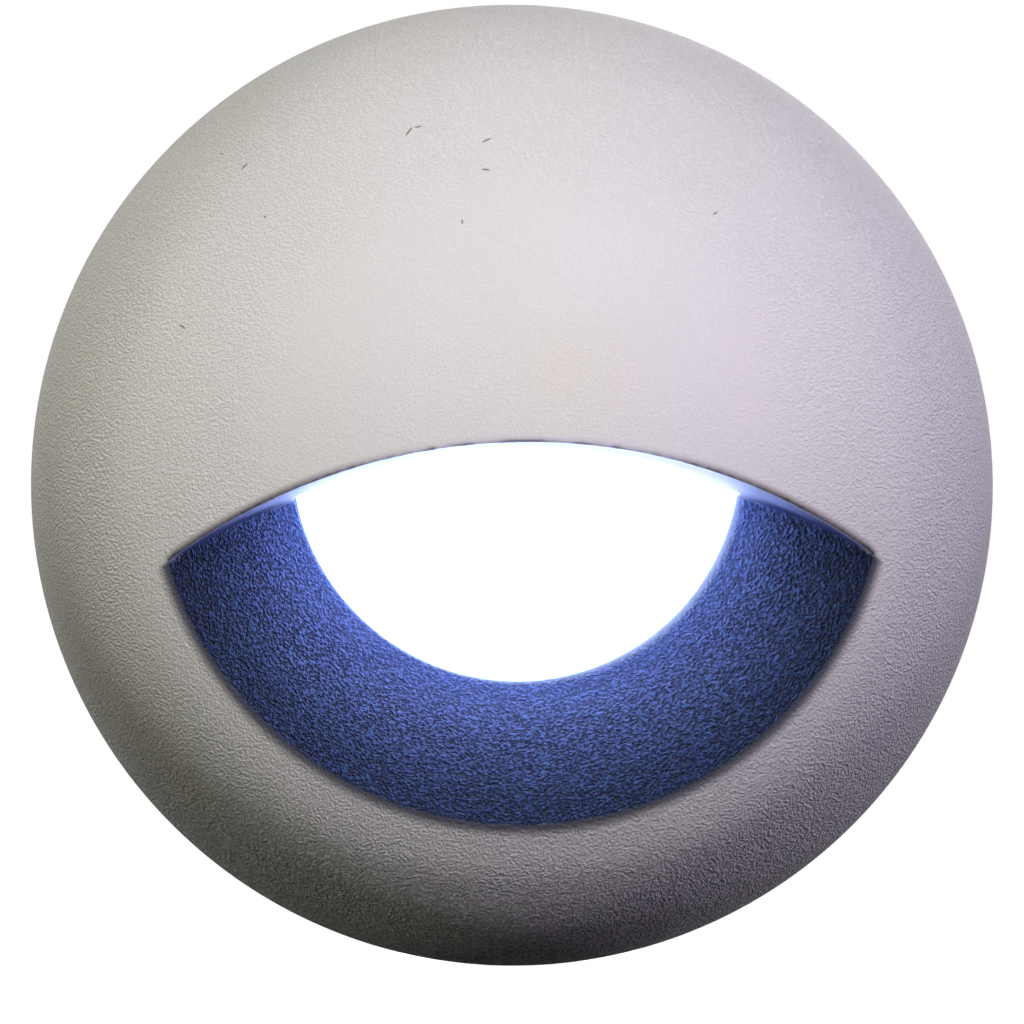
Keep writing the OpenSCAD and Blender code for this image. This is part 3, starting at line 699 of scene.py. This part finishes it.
def frostedWindow():
    # Seen straight on the lit window is past white, while the light that it gives is blue
    finish, tree, shader = newFinish("frostedWindow")
    shader.inputs["Emission Strength"].default_value = window["strength"]
    frost = placeGroup(tree, "fineGrain", **window["frostGrain"])["Height"]
    seen = addNode(tree, "ShaderNodeLightPath")["Is Camera Ray"]
    glass = mixColours(tree, frost, window["glass"], window["frost"])
    light = mixColours(tree, seen, window["lamp"], window["seen"])
    tree.links.new(glass, shader.inputs["Base Color"])
    tree.links.new(light, shader.inputs["Emission Color"])
    tree.links.new(spread(tree, frost, *window["roughness"]), shader.inputs["Roughness"])
    addBump(tree, shader, frost, window["frostDepth"])
    return finish


# The moulded, turned and rubber finishes: light tone, dark tone, gloss from and to, metal, and the
# size and depth of the grain in millimetres
plainFinishes = {
    "gasket_silicone": ((0.052, 0.052, 0.058), (0.036, 0.036, 0.04), (0.55, 0.7), 0, (0.08, 0.004)),
    "black_nylon": ((0.062, 0.062, 0.068), (0.045, 0.045, 0.05), (0.38, 0.55), 0, (0.12, 0.006)),
    "seal_rubber": ((0.034, 0.034, 0.034), (0.024, 0.024, 0.025), (0.35, 0.5), 0, (0.15, 0.003)),
    "spring_steel": ((0.58, 0.59, 0.61), (0.47, 0.48, 0.5), (0.2, 0.36), 1, (0.05, 0.001)),
    "foam_rubber": ((0.075, 0.075, 0.08), (0.05, 0.05, 0.055), (0.8, 0.95), 0, (0.09, 0.03)),
    "grip_silicone": ((0.115, 0.115, 0.122), (0.085, 0.085, 0.09), (0.52, 0.7), 0, (0.1, 0.006)),
    "white_reflector": ((0.9, 0.9, 0.885), (0.85, 0.85, 0.83), (0.25, 0.4), 0, (0.3, 0.004)),
    "led_body": ((0.88, 0.86, 0.8), (0.82, 0.8, 0.74), (0.4, 0.6), 0, (0.05, 0.003)),
    "white_board": ((0.86, 0.87, 0.88), (0.8, 0.81, 0.82), (0.25, 0.4), 0, (0.2, 0.003)),
    "screw_steel": ((0.62, 0.62, 0.63), (0.5, 0.5, 0.52), (0.22, 0.4), 1, (0.06, 0.002)),
    "chip_black": ((0.03, 0.03, 0.032), (0.02, 0.02, 0.022), (0.4, 0.6), 0, (0.04, 0.002)),
    "thermal_rubber": ((0.3, 0.38, 0.47), (0.25, 0.33, 0.42), (0.6, 0.8), 0, (0.2, 0.008)),
    "red_insulation": ((0.55, 0.03, 0.02), (0.45, 0.02, 0.015), (0.35, 0.5), 0, (0.3, 0.004)),
    "black_insulation": ((0.035, 0.035, 0.037), (0.025, 0.025, 0.027), (0.35, 0.5), 0, (0.3, 0.004)),
    "natural_nylon": ((0.78, 0.76, 0.68), (0.72, 0.7, 0.62), (0.35, 0.5), 0, (0.15, 0.003)),
    "solder": ((0.68, 0.69, 0.7), (0.55, 0.56, 0.57), (0.18, 0.35), 1, (0.25, 0.01)),
    "green_board": ((0.02, 0.13, 0.06), (0.012, 0.1, 0.045), (0.22, 0.38), 0, (0.35, 0.004)),
    "moulded_epoxy": ((0.028, 0.028, 0.03), (0.02, 0.02, 0.021), (0.45, 0.65), 0, (0.06, 0.004)),
    "ferrite": ((0.1, 0.1, 0.105), (0.07, 0.07, 0.075), (0.5, 0.7), 0, (0.08, 0.008)),
    "tantalum_case": ((0.62, 0.3, 0.04), (0.55, 0.25, 0.03), (0.35, 0.5), 0, (0.1, 0.004)),
    "gold_plate": ((0.85, 0.6, 0.22), (0.75, 0.5, 0.17), (0.2, 0.35), 1, (0.1, 0.002)),
    "black_resin": ((0.075, 0.077, 0.082), (0.055, 0.057, 0.062), (0.42, 0.6), 0, (0.14, 0.008)),
    "grommet_rubber": ((0.032, 0.032, 0.033), (0.022, 0.022, 0.023), (0.5, 0.68), 0, (0.12, 0.005)),
}

plainDrift = {"Size": 2.5, "Contrast": 2}


def plainFinish(slot, light, dark, gloss, metal, grain):
    finish, tree, shader = newFinish(slot, Metallic=metal)
    size, depth = grain
    drift = placeGroup(tree, "toneDrift", **plainDrift, Light=light, Dark=dark)
    fine = placeGroup(tree, "fineGrain", Size=size, Detail=3)["Height"]
    dusty = placeGroup(tree, "settledDust", Amount=dust["amount"])["Dust"]
    tree.links.new(mixColours(tree, dusty, drift["Color"], dust["colour"]), shader.inputs["Base Color"])
    tree.links.new(spread(tree, drift["Drift"], *gloss), shader.inputs["Roughness"])
    addBump(tree, shader, fine, depth)
    return finish


aluminium = {
    "tones": {"Light": (0.52, 0.525, 0.54), "Dark": (0.43, 0.435, 0.45), "Size": 5, "Contrast": 1.8},
    "ringPitch": 0.09,
    "ringDepth": 0.004,
    "blast": {"Size": 0.07, "Detail": 3},
    "blastDepth": 0.003,
    "roughness": (0.3, 0.46, 0.3, 0.7),
}


def turnedAluminium():
    # Lathe rings under a bead-blasted and anodised skin
    finish, tree, shader = newFinish("turnedAluminium", Metallic=1)
    rings = placeGroup(tree, "latheRings", Pitch=aluminium["ringPitch"])
    blast = placeGroup(tree, "fineGrain", **aluminium["blast"])["Height"]
    tone = placeGroup(tree, "toneDrift", **aluminium["tones"])["Color"]
    tree.links.new(tone, shader.inputs["Base Color"])
    tree.links.new(spread(tree, rings["Shine"], *aluminium["roughness"]), shader.inputs["Roughness"])
    addBump(tree, shader, rings["Height"], aluminium["ringDepth"])
    addBump(tree, shader, blast, aluminium["blastDepth"])
    return finish


gel = {
    "tones": {"Light": (0.55, 0.7, 1), "Dark": (0.4, 0.55, 1), "Size": 0.8, "Contrast": 1.5},
    "strength": 2,
    "pale": (0.9, 0.95, 1.0),
    "paleShare": 0.5,
    "roughness": (0.12, 0.25),
}


def ledGel():
    finish, tree, shader = newFinish("ledGel")
    shader.inputs["Emission Strength"].default_value = gel["strength"]
    drift = placeGroup(tree, "toneDrift", **gel["tones"])
    tree.links.new(drift["Color"], shader.inputs["Emission Color"])
    surface = mixColours(tree, gel["paleShare"], drift["Color"], gel["pale"])
    tree.links.new(surface, shader.inputs["Base Color"])
    tree.links.new(spread(tree, drift["Drift"], *gel["roughness"]), shader.inputs["Roughness"])
    return finish


finishes = {slot: plainFinish(slot, *look) for slot, look in plainFinishes.items()}
finishes.update({
    "textured_coat": texturedCoat(),
    "frosted_window": frostedWindow(),
    "turned_aluminium": turnedAluminium(),
    "led_gel": ledGel(),
})
print("made", len(finishes), "finishes")

for part in frame["record"]["subparts"]:
    paint(nodes[part["node"]], part["material_slot"])

# The hooded cap

capLow, capHigh = boxOf("hood_cap")
lensLow, lensHigh = boxOf("lens")

cap = {
    "faceRadius": capHigh.x,
    "faceHeight": -capLow.y,
    "sleeveDepth": capHigh.y,
    "cornerRadius": 6,
    "sideHeight": 0.8,
    "rimGap": 0.3,
    "rimChamfer": 0.25,
    "wall": 1.25,
    "cavityTop": 2.3,
    "windowHeight": 3,
    "windowRadius": 7.4,
    "windowRise": 0.75,
    "recessAngle": 52.75,
    "hoodRadius": 20.2,
    "hoodRise": 0.76,
    "pocketRadius": 8.65,
    "lensLedge": 2.3,
    "sleeveRadius": 10.9,
    "sleeveBore": 9.2,
    "sleeveEdge": 0.3,
    "snapGroove": (10.18, -5.12, -4.08),
    "ringGroove": (10.05, -2.48, -1.12),
    "sleeveRoot": 0.1,
    "windowCut": 0.6,
    "coreCut": 0.5,
    "ribCount": 8,
    "ribThickness": 1.1,
    "coreWidth": 2.4,
    "coreDepth": 1.3,
    "hoodFoot": 1,
    "turns": 256,
    "hoodTurns": 384,
    "cornerSteps": 48,
    "crownSteps": 64,
    "pocketSteps": 16,
    "voxel": 0.075,
    "softening": {"factor": 0.5, "iterations": 4},
    "triangles": 176000,
    "smoothAngle": 40,
}


def domeOutline():
    # Flat back, chamfered rim, corner arc and crown arc, from the axis to the axis
    edge = cap["faceRadius"] - cap["cornerRadius"]
    lift = cap["faceHeight"] - cap["sideHeight"]
    crown = (edge**2 + lift**2 - cap["cornerRadius"] ** 2) / (2 * (lift - cap["cornerRadius"]))
    crownCentre = cap["faceHeight"] - crown
    meet = math.degrees(math.atan2(cap["sideHeight"] - crownCentre, edge))
    rim = cap["rimGap"]
    corners = [(0, rim, 0), (cap["faceRadius"] - cap["rimChamfer"], rim, 0)]
    corners += [(cap["faceRadius"], rim + cap["rimChamfer"], 0)]
    corners += arc((edge, cap["sideHeight"]), cap["cornerRadius"], 0, meet, cap["cornerSteps"])
    corners += arc((0, crownCentre), crown, meet, 90, cap["crownSteps"])[1:]
    return corners


def recessTool():
    # The cone in front of the window, kept only where it lies below the hood's edge
    height = cap["faceHeight"]
    foot = cap["windowHeight"]
    wide = cap["windowRadius"] + height * math.tan(math.radians(cap["recessAngle"]))
    corners = [(0, foot, 0), (cap["windowRadius"], foot, 0)]
    corners += [(wide, foot + height, 0), (0, foot + height, 0)]
    cone = turned("recessCone", corners, turns=cap["turns"], rise=cap["windowRise"])
    radius, low = cap["hoodRadius"], cap["hoodFoot"]
    place = {"turns": cap["hoodTurns"], "rise": cap["hoodRise"] - radius}
    hood = rod("hoodCylinder", radius, low, 2 * height, **place)
    combine(cone, hood, "INTERSECT")
    return cone


def coredPocket(index):
    # One pocket between two ribs, a square outline swept round the axis
    outer = cap["faceRadius"] - cap["wall"]
    inner = outer - cap["coreWidth"]
    low, high = cap["cavityTop"] - cap["coreCut"], cap["cavityTop"] + cap["coreDepth"]
    pitch = 2 * math.pi / cap["ribCount"]
    sweep = pitch - cap["ribThickness"] / (outer - cap["coreWidth"] / 2)
    pocket = drawOutline("corePocket", ringOutline(inner, outer, low, high), filled=True)
    bpy.ops.mesh.select_all(action="SELECT")
    bpy.ops.mesh.spin(steps=cap["pocketSteps"], angle=sweep, center=(0, 0, 0), axis=(0, 1, 0))
    closeUp()
    applyPlace(pocket)
    pocket.rotation_euler.y = index * pitch + (pitch - sweep) / 2
    applyPlace(pocket)
    return pocket


def hoodCap():
    piece = turned("hoodCap", domeOutline(), turns=cap["turns"])
    combine(piece, recessTool(), "DIFFERENCE")
    low, high = cap["lensLedge"] - cap["windowCut"], cap["windowHeight"] + cutReach
    hole = rod("windowHole", cap["windowRadius"], low, high, rise=cap["windowRise"])
    combine(piece, hole, "DIFFERENCE")
    # The coat rounds every edge of the casting a little
    applyModifier(piece, "REMESH", mode="VOXEL", voxel_size=cap["voxel"])
    applyModifier(piece, "SMOOTH", **cap["softening"])
    share = cap["triangles"] / (2 * len(piece.data.polygons))
    applyModifier(piece, "DECIMATE", ratio=min(1, share))
    # Inside: the flange's room, the sleeve that turns in the barrel, and the lens's seat
    outer, radius = cap["faceRadius"] - cap["wall"], cap["sleeveRadius"]
    room = ringOutline(radius - cap["sleeveRoot"], outer, -cutReach, cap["cavityTop"])
    combine(piece, turned("flangeRoom", room), "DIFFERENCE")
    for index in range(cap["ribCount"]):
        combine(piece, coredPocket(index), "DIFFERENCE")
    back, front = -cap["sleeveDepth"], cap["cavityTop"] + cap["sleeveRoot"]
    sleeve = [(0, back, 0), (radius, back, cap["sleeveEdge"])]
    sleeve += grooved(radius, cap["snapGroove"]) + grooved(radius, cap["ringGroove"])
    sleeve += [(radius, front, 0), (0, front, 0)]
    combine(piece, turned("sleeve", sleeve), "UNION")
    seat, ledge = -lensHigh.y, cap["lensLedge"]
    combine(piece, rod("sleeveBore", cap["sleeveBore"], back - cutReach, seat), "DIFFERENCE")
    combine(piece, rod("lensPocket", cap["pocketRadius"], seat - cutReach, ledge), "DIFFERENCE")
    finishPiece(piece, "cap", "textured_coat", "hood_cap", cap["smoothAngle"])


hoodCap()

# The frosted lens: a flange behind the lip and a boss that fills the window

lens = {
    "bossRadius": 7.35,
    "bossRise": 0.75,
    "bossRoot": 0.3,
    "edge": 0.12,
    "flangeEdge": 0.1,
    "flangeFront": 1.9,
    "turns": 256,
}


def windowLens():
    back = -lensHigh.y
    front = -lensLow.y
    edge = lens["flangeEdge"]
    corners = [(0, back, 0), (lensHigh.x, back, edge), (lensHigh.x, lens["flangeFront"], edge)]
    corners += [(0, lens["flangeFront"], 0)]
    piece = turned("windowLens", corners)
    root = back + lens["bossRoot"]
    boss = [(0, root, 0), (lens["bossRadius"], root, 0)]
    boss += [(lens["bossRadius"], front, lens["edge"]), (0, front, 0)]
    combine(piece, turned("windowBoss", boss, turns=lens["turns"], rise=lens["bossRise"]), "UNION")
    finishPiece(piece, "cap", "frosted_window", "lens")


windowLens()

# What shows behind the wall plane: the barrel, its gasket, the grip and the rear end

housingLow, housingHigh = boxOf("housing")

housing = {
    "flangeRadius": housingHigh.x,
    "flangeFront": -housingLow.y,
    "flangeBack": 0.8,
    "rearEnd": -housingHigh.y,
    "barrelRadius": 12.2,
    "boreRadius": 10.95,
    "seatRadius": 11.7,
    "seat": (-13.3, -7),
    "snapGroove": (11.37, -5.12, -4.08),
    "beadGroove": (11.2, -16.6, -15.9),
    "ledge": -6.9,
    "pocketRadius": 9.7,
    "web": (-10, -8.4),
    "postReach": -11.6,
    "postRoot": 0.4,
    "postRadius": 1.5,
    "postAt": 8.6,
    "postTurns": (90, 210, 330),
    "shankHole": 0.85,
    "boardScrewAt": 7.9,
    "boardScrewTurns": (60, 240),
    "bite": 1.15,
    "leadHole": 1.0,
    "leadAt": 7.6,
    "leadTurns": (0, 180),
    "edge": 0.12,
    "rearEdge": 0.25,
    "seatEdge": 0.06,
    "fineEdge": 0.05,
    "pocketEdge": 0.08,
    "turns": 256,
    "holeTurns": 48,
}


def rodAt(name, radius, low, high, at, turn):
    # A rod along the barrel, at a distance from its axis and an angle from the right
    across, rise = at * math.cos(math.radians(turn)), at * math.sin(math.radians(turn))
    return rod(name, radius, low, high, turns=housing["holeTurns"], across=across, rise=rise)


def barrelHousing():
    edge, fine, seatEdge = (housing[key] for key in ("edge", "fineEdge", "seatEdge"))
    bore, barrel, seat = (housing[key] for key in ("boreRadius", "barrelRadius", "seatRadius"))
    flange, pocket = housing["flangeRadius"], housing["pocketRadius"]
    seatBack, seatFront = housing["seat"]
    webBack, webFront = housing["web"]
    corners = [(0, webBack, 0), (bore, webBack, edge)]
    corners += reversed(grooved(bore, housing["beadGroove"]))
    corners += [(bore, housing["rearEnd"], edge), (barrel, housing["rearEnd"], housing["rearEdge"])]
    corners += [(barrel, seatBack, seatEdge), (seat, seatBack, fine)]
    corners += [(seat, seatFront, fine), (barrel, seatFront, seatEdge)]
    corners += [(barrel, housing["flangeBack"], edge), (flange, housing["flangeBack"], edge)]
    corners += [(flange, housing["flangeFront"], edge), (bore, housing["flangeFront"], edge)]
    corners += reversed(grooved(bore, housing["snapGroove"]))
    corners += [(bore, housing["ledge"], fine), (pocket, housing["ledge"], housing["pocketEdge"])]
    corners += [(pocket, webFront, housing["pocketEdge"]), (0, webFront, 0)]
    piece = turned("barrelHousing", corners, turns=housing["turns"])
    reach, at, shank, bite = (housing[key] for key in ("postReach", "postAt", "shankHole", "bite"))
    for turn in housing["postTurns"]:
        root = webBack + housing["postRoot"]
        combine(piece, rodAt("post", housing["postRadius"], reach, root, at, turn), "UNION")
        combine(piece, rodAt("postHole", shank, reach - cutReach, reach + bite, at, turn), "DIFFERENCE")
    for turn in housing["boardScrewTurns"]:
        low, high = webFront - bite, webFront + cutReach
        hole = rodAt("boardScrewHole", shank, low, high, housing["boardScrewAt"], turn)
        combine(piece, hole, "DIFFERENCE")
    for turn in housing["leadTurns"]:
        low, high = webBack - cutReach, webFront + cutReach
        hole = rodAt("leadHole", housing["leadHole"], low, high, housing["leadAt"], turn)
        combine(piece, hole, "DIFFERENCE")
    finishPiece(piece, "housing", "turned_aluminium", "housing")


barrelHousing()

wallGasket = {"bore": 12.25, "edge": 0.16, "boreEdge": 0.08}


def foamGasket():
    low, high = boxOf("wall_gasket")
    inner, outer = wallGasket["boreEdge"], wallGasket["edge"]
    corners = [(wallGasket["bore"], -high.y, inner), (high.x, -high.y, outer)]
    corners += [(high.x, -low.y, outer), (wallGasket["bore"], -low.y, inner)]
    finishPiece(turned("foamGasket", corners), "housing", "foam_rubber", "wall_gasket")


foamGasket()

grip = {
    "bore": 11.73,
    "bodyRadius": 12.15,
    "fins": 4,
    "finWidth": 0.7,
    "tip": 0.24,
    "root": 0.12,
    "end": 0.05,
    "turns": 256,
}


def gripSleeve():
    low, high = boxOf("grip_sleeve")
    back, front, reach = -high.y, -low.y, high.x
    pitch = (front - back - grip["finWidth"]) / (grip["fins"] - 1)
    corners = [(grip["bore"], back, grip["end"])]
    for fin in range(grip["fins"]):
        start = back + fin * pitch
        end = start + grip["finWidth"]
        if fin:
            corners.append((grip["bodyRadius"], start, grip["root"]))
        corners += [(reach, start, grip["tip"]), (reach, end, grip["tip"])]
        if fin < grip["fins"] - 1:
            corners.append((grip["bodyRadius"], end, grip["root"]))
    corners.append((grip["bore"], front, grip["end"]))
    piece = turned("gripSleeve", corners, turns=grip["turns"])
    finishPiece(piece, "housing", "grip_silicone", "grip_sleeve")


gripSleeve()

rearEnd = {
    "hole": 2.92,
    "plugRadius": 10.9,
    "beadRadius": 11.1,
    "bead": (-16.5, -16.0),
    "ringGroove": (10.15, -15.13, -13.87),
    "skirtBore": 9.4,
    "plateFront": -15.4,
    "edge": 0.2,
    "fine": 0.08,
    "turns": 256,
}


def rearCap():
    low, high = boxOf("rear_cap")
    fine, edge, plug, hole = (rearEnd[key] for key in ("fine", "edge", "plugRadius", "hole"))
    bead, skirt, plate = rearEnd["beadRadius"], rearEnd["skirtBore"], rearEnd["plateFront"]
    beadBack, beadFront = rearEnd["bead"]
    corners = [(hole, -high.y, edge), (plug, -high.y, edge), (plug, beadBack, 0)]
    corners += [(bead, beadBack, fine), (bead, beadFront, fine), (plug, beadFront, 0)]
    corners += grooved(plug, rearEnd["ringGroove"])
    corners += [(plug, -low.y, fine), (skirt, -low.y, fine), (skirt, plate, edge), (hole, plate, fine)]
    piece = turned("rearCap", corners, turns=rearEnd["turns"])
    finishPiece(piece, "housing", "black_resin", "rear_cap")


rearCap()

grommet = {
    "bore": 2.1,
    "waist": 2.9,
    "lipBack": -17.45,
    "rearFace": -17.0,
    "waistFront": -15.4,
    "tailEdge": 0.22,
    "lipEdge": 0.14,
    "rootEdge": 0.04,
    "turns": 128,
}


def cableGrommet():
    low, high = boxOf("cable_grommet")
    lip, waist, bore = high.x, grommet["waist"], grommet["bore"]
    tail, soft, root = (grommet[key] for key in ("tailEdge", "lipEdge", "rootEdge"))
    corners = [(bore, -high.y, tail), (waist, -high.y, tail)]
    corners += [(lip, grommet["lipBack"], soft), (lip, grommet["rearFace"], soft)]
    corners += [(waist, grommet["rearFace"], root), (waist, grommet["waistFront"], root)]
    corners += [(lip, grommet["waistFront"], soft), (lip, -low.y, soft), (bore, -low.y, soft)]
    piece = turned("cableGrommet", corners, turns=grommet["turns"])
    finishPiece(piece, "housing", "grommet_rubber", "cable_grommet")


cableGrommet()

# Camera

photo = {"side": 1024, "originX": 511.8, "originY": 485.4, "pixelsPerMillimetre": 29.94}
view = {
    "distance": 220,
    "azimuth": -2.58,
    "elevation": -3.97,
    "roll": -0.71,
    "sensor": 36,
    "clip": (0.01, 20),
}


def placeCamera():
    # Looks along the photograph's line of sight, with the barrel's axis on its own pixel
    azimuth = math.radians(view["azimuth"])
    elevation = math.radians(view["elevation"])
    back = Vector((
        math.sin(azimuth) * math.cos(elevation),
        -math.cos(azimuth) * math.cos(elevation),
        math.sin(elevation),
    ))
    data = bpy.data.cameras.new("photoCamera")
    data.sensor_width = view["sensor"]
    data.lens = view["sensor"] * view["distance"] * photo["pixelsPerMillimetre"] / photo["side"]
    data.shift_x = (photo["side"] / 2 - photo["originX"]) / photo["side"]
    data.shift_y = (photo["originY"] - photo["side"] / 2) / photo["side"]
    data.clip_start, data.clip_end = view["clip"]
    camera = bpy.data.objects.new("photoCamera", data)
    bpy.context.scene.collection.objects.link(camera)
    camera.location = back * view["distance"] * millimetre
    roll = Quaternion((0, 0, 1), math.radians(view["roll"]))
    camera.rotation_mode = "QUATERNION"
    camera.rotation_quaternion = (-back).to_track_quat("-Z", "Y") @ roll
    bpy.context.scene.camera = camera


placeCamera()

# Floor, lamps and world

studio = {
    "aim": (0, -0.006, 0.002),
    "spots": {
        "key": {"place": (0.091, -0.196, 0.125), "reach": 0.026, "watts": 0.8, "colour": (0.97, 0.97, 1)},
        "top": {"place": (0, -0.15, 0.2), "reach": 0.03, "watts": 1.22, "colour": (1, 0.99, 0.94)},
        "left": {"place": (-0.207, -0.13, 0.055), "reach": 0.022, "watts": 1.06,
                 "colour": (1, 0.965, 0.75)},
        "right": {"place": (0.207, -0.13, 0.055), "reach": 0.022, "watts": 1.19,
                  "colour": (0.74, 0.53, 1)},
    },
    "spotSize": 0.015,
    "softboxes": {
        "side": {"place": (0.27, 0.072, 0.01), "size": 0.12, "watts": 0.13, "colour": (0.94, 0.98, 1)},
        "back": {"place": (0.11, 0.32, 0.14), "size": 0.16, "watts": 0.4, "colour": (1, 0.99, 0.98)},
        "backLeft": {"place": (-0.16, 0.26, 0.06), "size": 0.16, "watts": 0.22, "colour": (0.97, 0.98, 1)},
    },
    "ambient": 0.016,
    "floorSize": 4,
    "floorRoughness": 0.9,
    "floorGloss": 0.1,
    "floorSeen": 0.9,
    "floorBounce": 0.02,
    "floorGlow": (0.72, 1.0),
    "glowReach": (0.018, 0.045),
}


def addLamp(name, kind, place, watts, colour):
    data = bpy.data.lights.new(name, kind)
    data.energy = watts
    data.color = colour
    lamp = bpy.data.objects.new(name, data)
    bpy.context.scene.collection.objects.link(lamp)
    lamp.location = place
    lamp.visible_camera = False
    towards = Vector(studio["aim"]) - Vector(place)
    lamp.rotation_euler = towards.to_track_quat("-Z", "Y").to_euler()
    return data, towards.length


def grey(level):
    return (level, level, level)


def softSpot(name, place, reach, watts, colour):
    # A lamp whose light fades out at its reach around the middle of the face
    data, distance = addLamp(name, "SPOT", place, watts, colour)
    data.shadow_soft_size = studio["spotSize"]
    data.spot_size = 2 * math.atan(reach / distance)
    data.spot_blend = 1


def softbox(name, place, size, watts, colour):
    data, _ = addLamp(name, "AREA", place, watts, colour)
    data.shape = "DISK"
    data.size = size


def seenRays(tree):
    # One for rays that show the background: straight ones, reflections and refractions
    ray = addNode(tree, "ShaderNodeLightPath")
    seen = combineValues(tree, "MAXIMUM", ray["Is Camera Ray"], ray["Is Glossy Ray"])
    return combineValues(tree, "MAXIMUM", seen, ray["Is Transmission Ray"])


def makeFloor():
    deselectAll()
    bpy.ops.mesh.primitive_plane_add(size=studio["floorSize"], location=(0, 0, cadLow.z))
    floor = namedPrimitive("floor")
    applyPlace(floor)
    finish, tree, shader = newFinish("paleFloor", Roughness=studio["floorRoughness"])
    shader.inputs["Specular IOR Level"].default_value = studio["floorGloss"]
    seen = seenRays(tree)
    pale = mixColours(tree, seen, grey(studio["floorBounce"]), grey(studio["floorSeen"]))
    tree.links.new(pale, shader.inputs["Base Color"])
    away = radiusFrom(tree, inMillimetres(tree), (0, 0, cadLow.z / millimetre))
    reach = [distance / millimetre for distance in studio["glowReach"]]
    glow = product(tree, seen, softStep(tree, away, *reach, *studio["floorGlow"]))
    tree.links.new(mixColours(tree, glow, grey(0), grey(1)), shader.inputs["Emission Color"])
    shader.inputs["Emission Strength"].default_value = 1
    floor.data.materials.append(finish)


def makeWorld():
    world = bpy.data.worlds.new("studio")
    world.use_nodes = True
    bpy.context.scene.world = world
    tree = world.node_tree
    background = tree.nodes["Background"]
    light = mixColours(tree, seenRays(tree), grey(studio["ambient"]), grey(1))
    tree.links.new(light, background.inputs["Color"])
    background.inputs["Strength"].default_value = 1


for name, lamp in studio["spots"].items():
    softSpot(name, **lamp)
for name, lamp in studio["softboxes"].items():
    softbox(name, **lamp)
makeFloor()
makeWorld()
bpy.context.scene.view_settings.view_transform = "Standard"
print("studio ready")
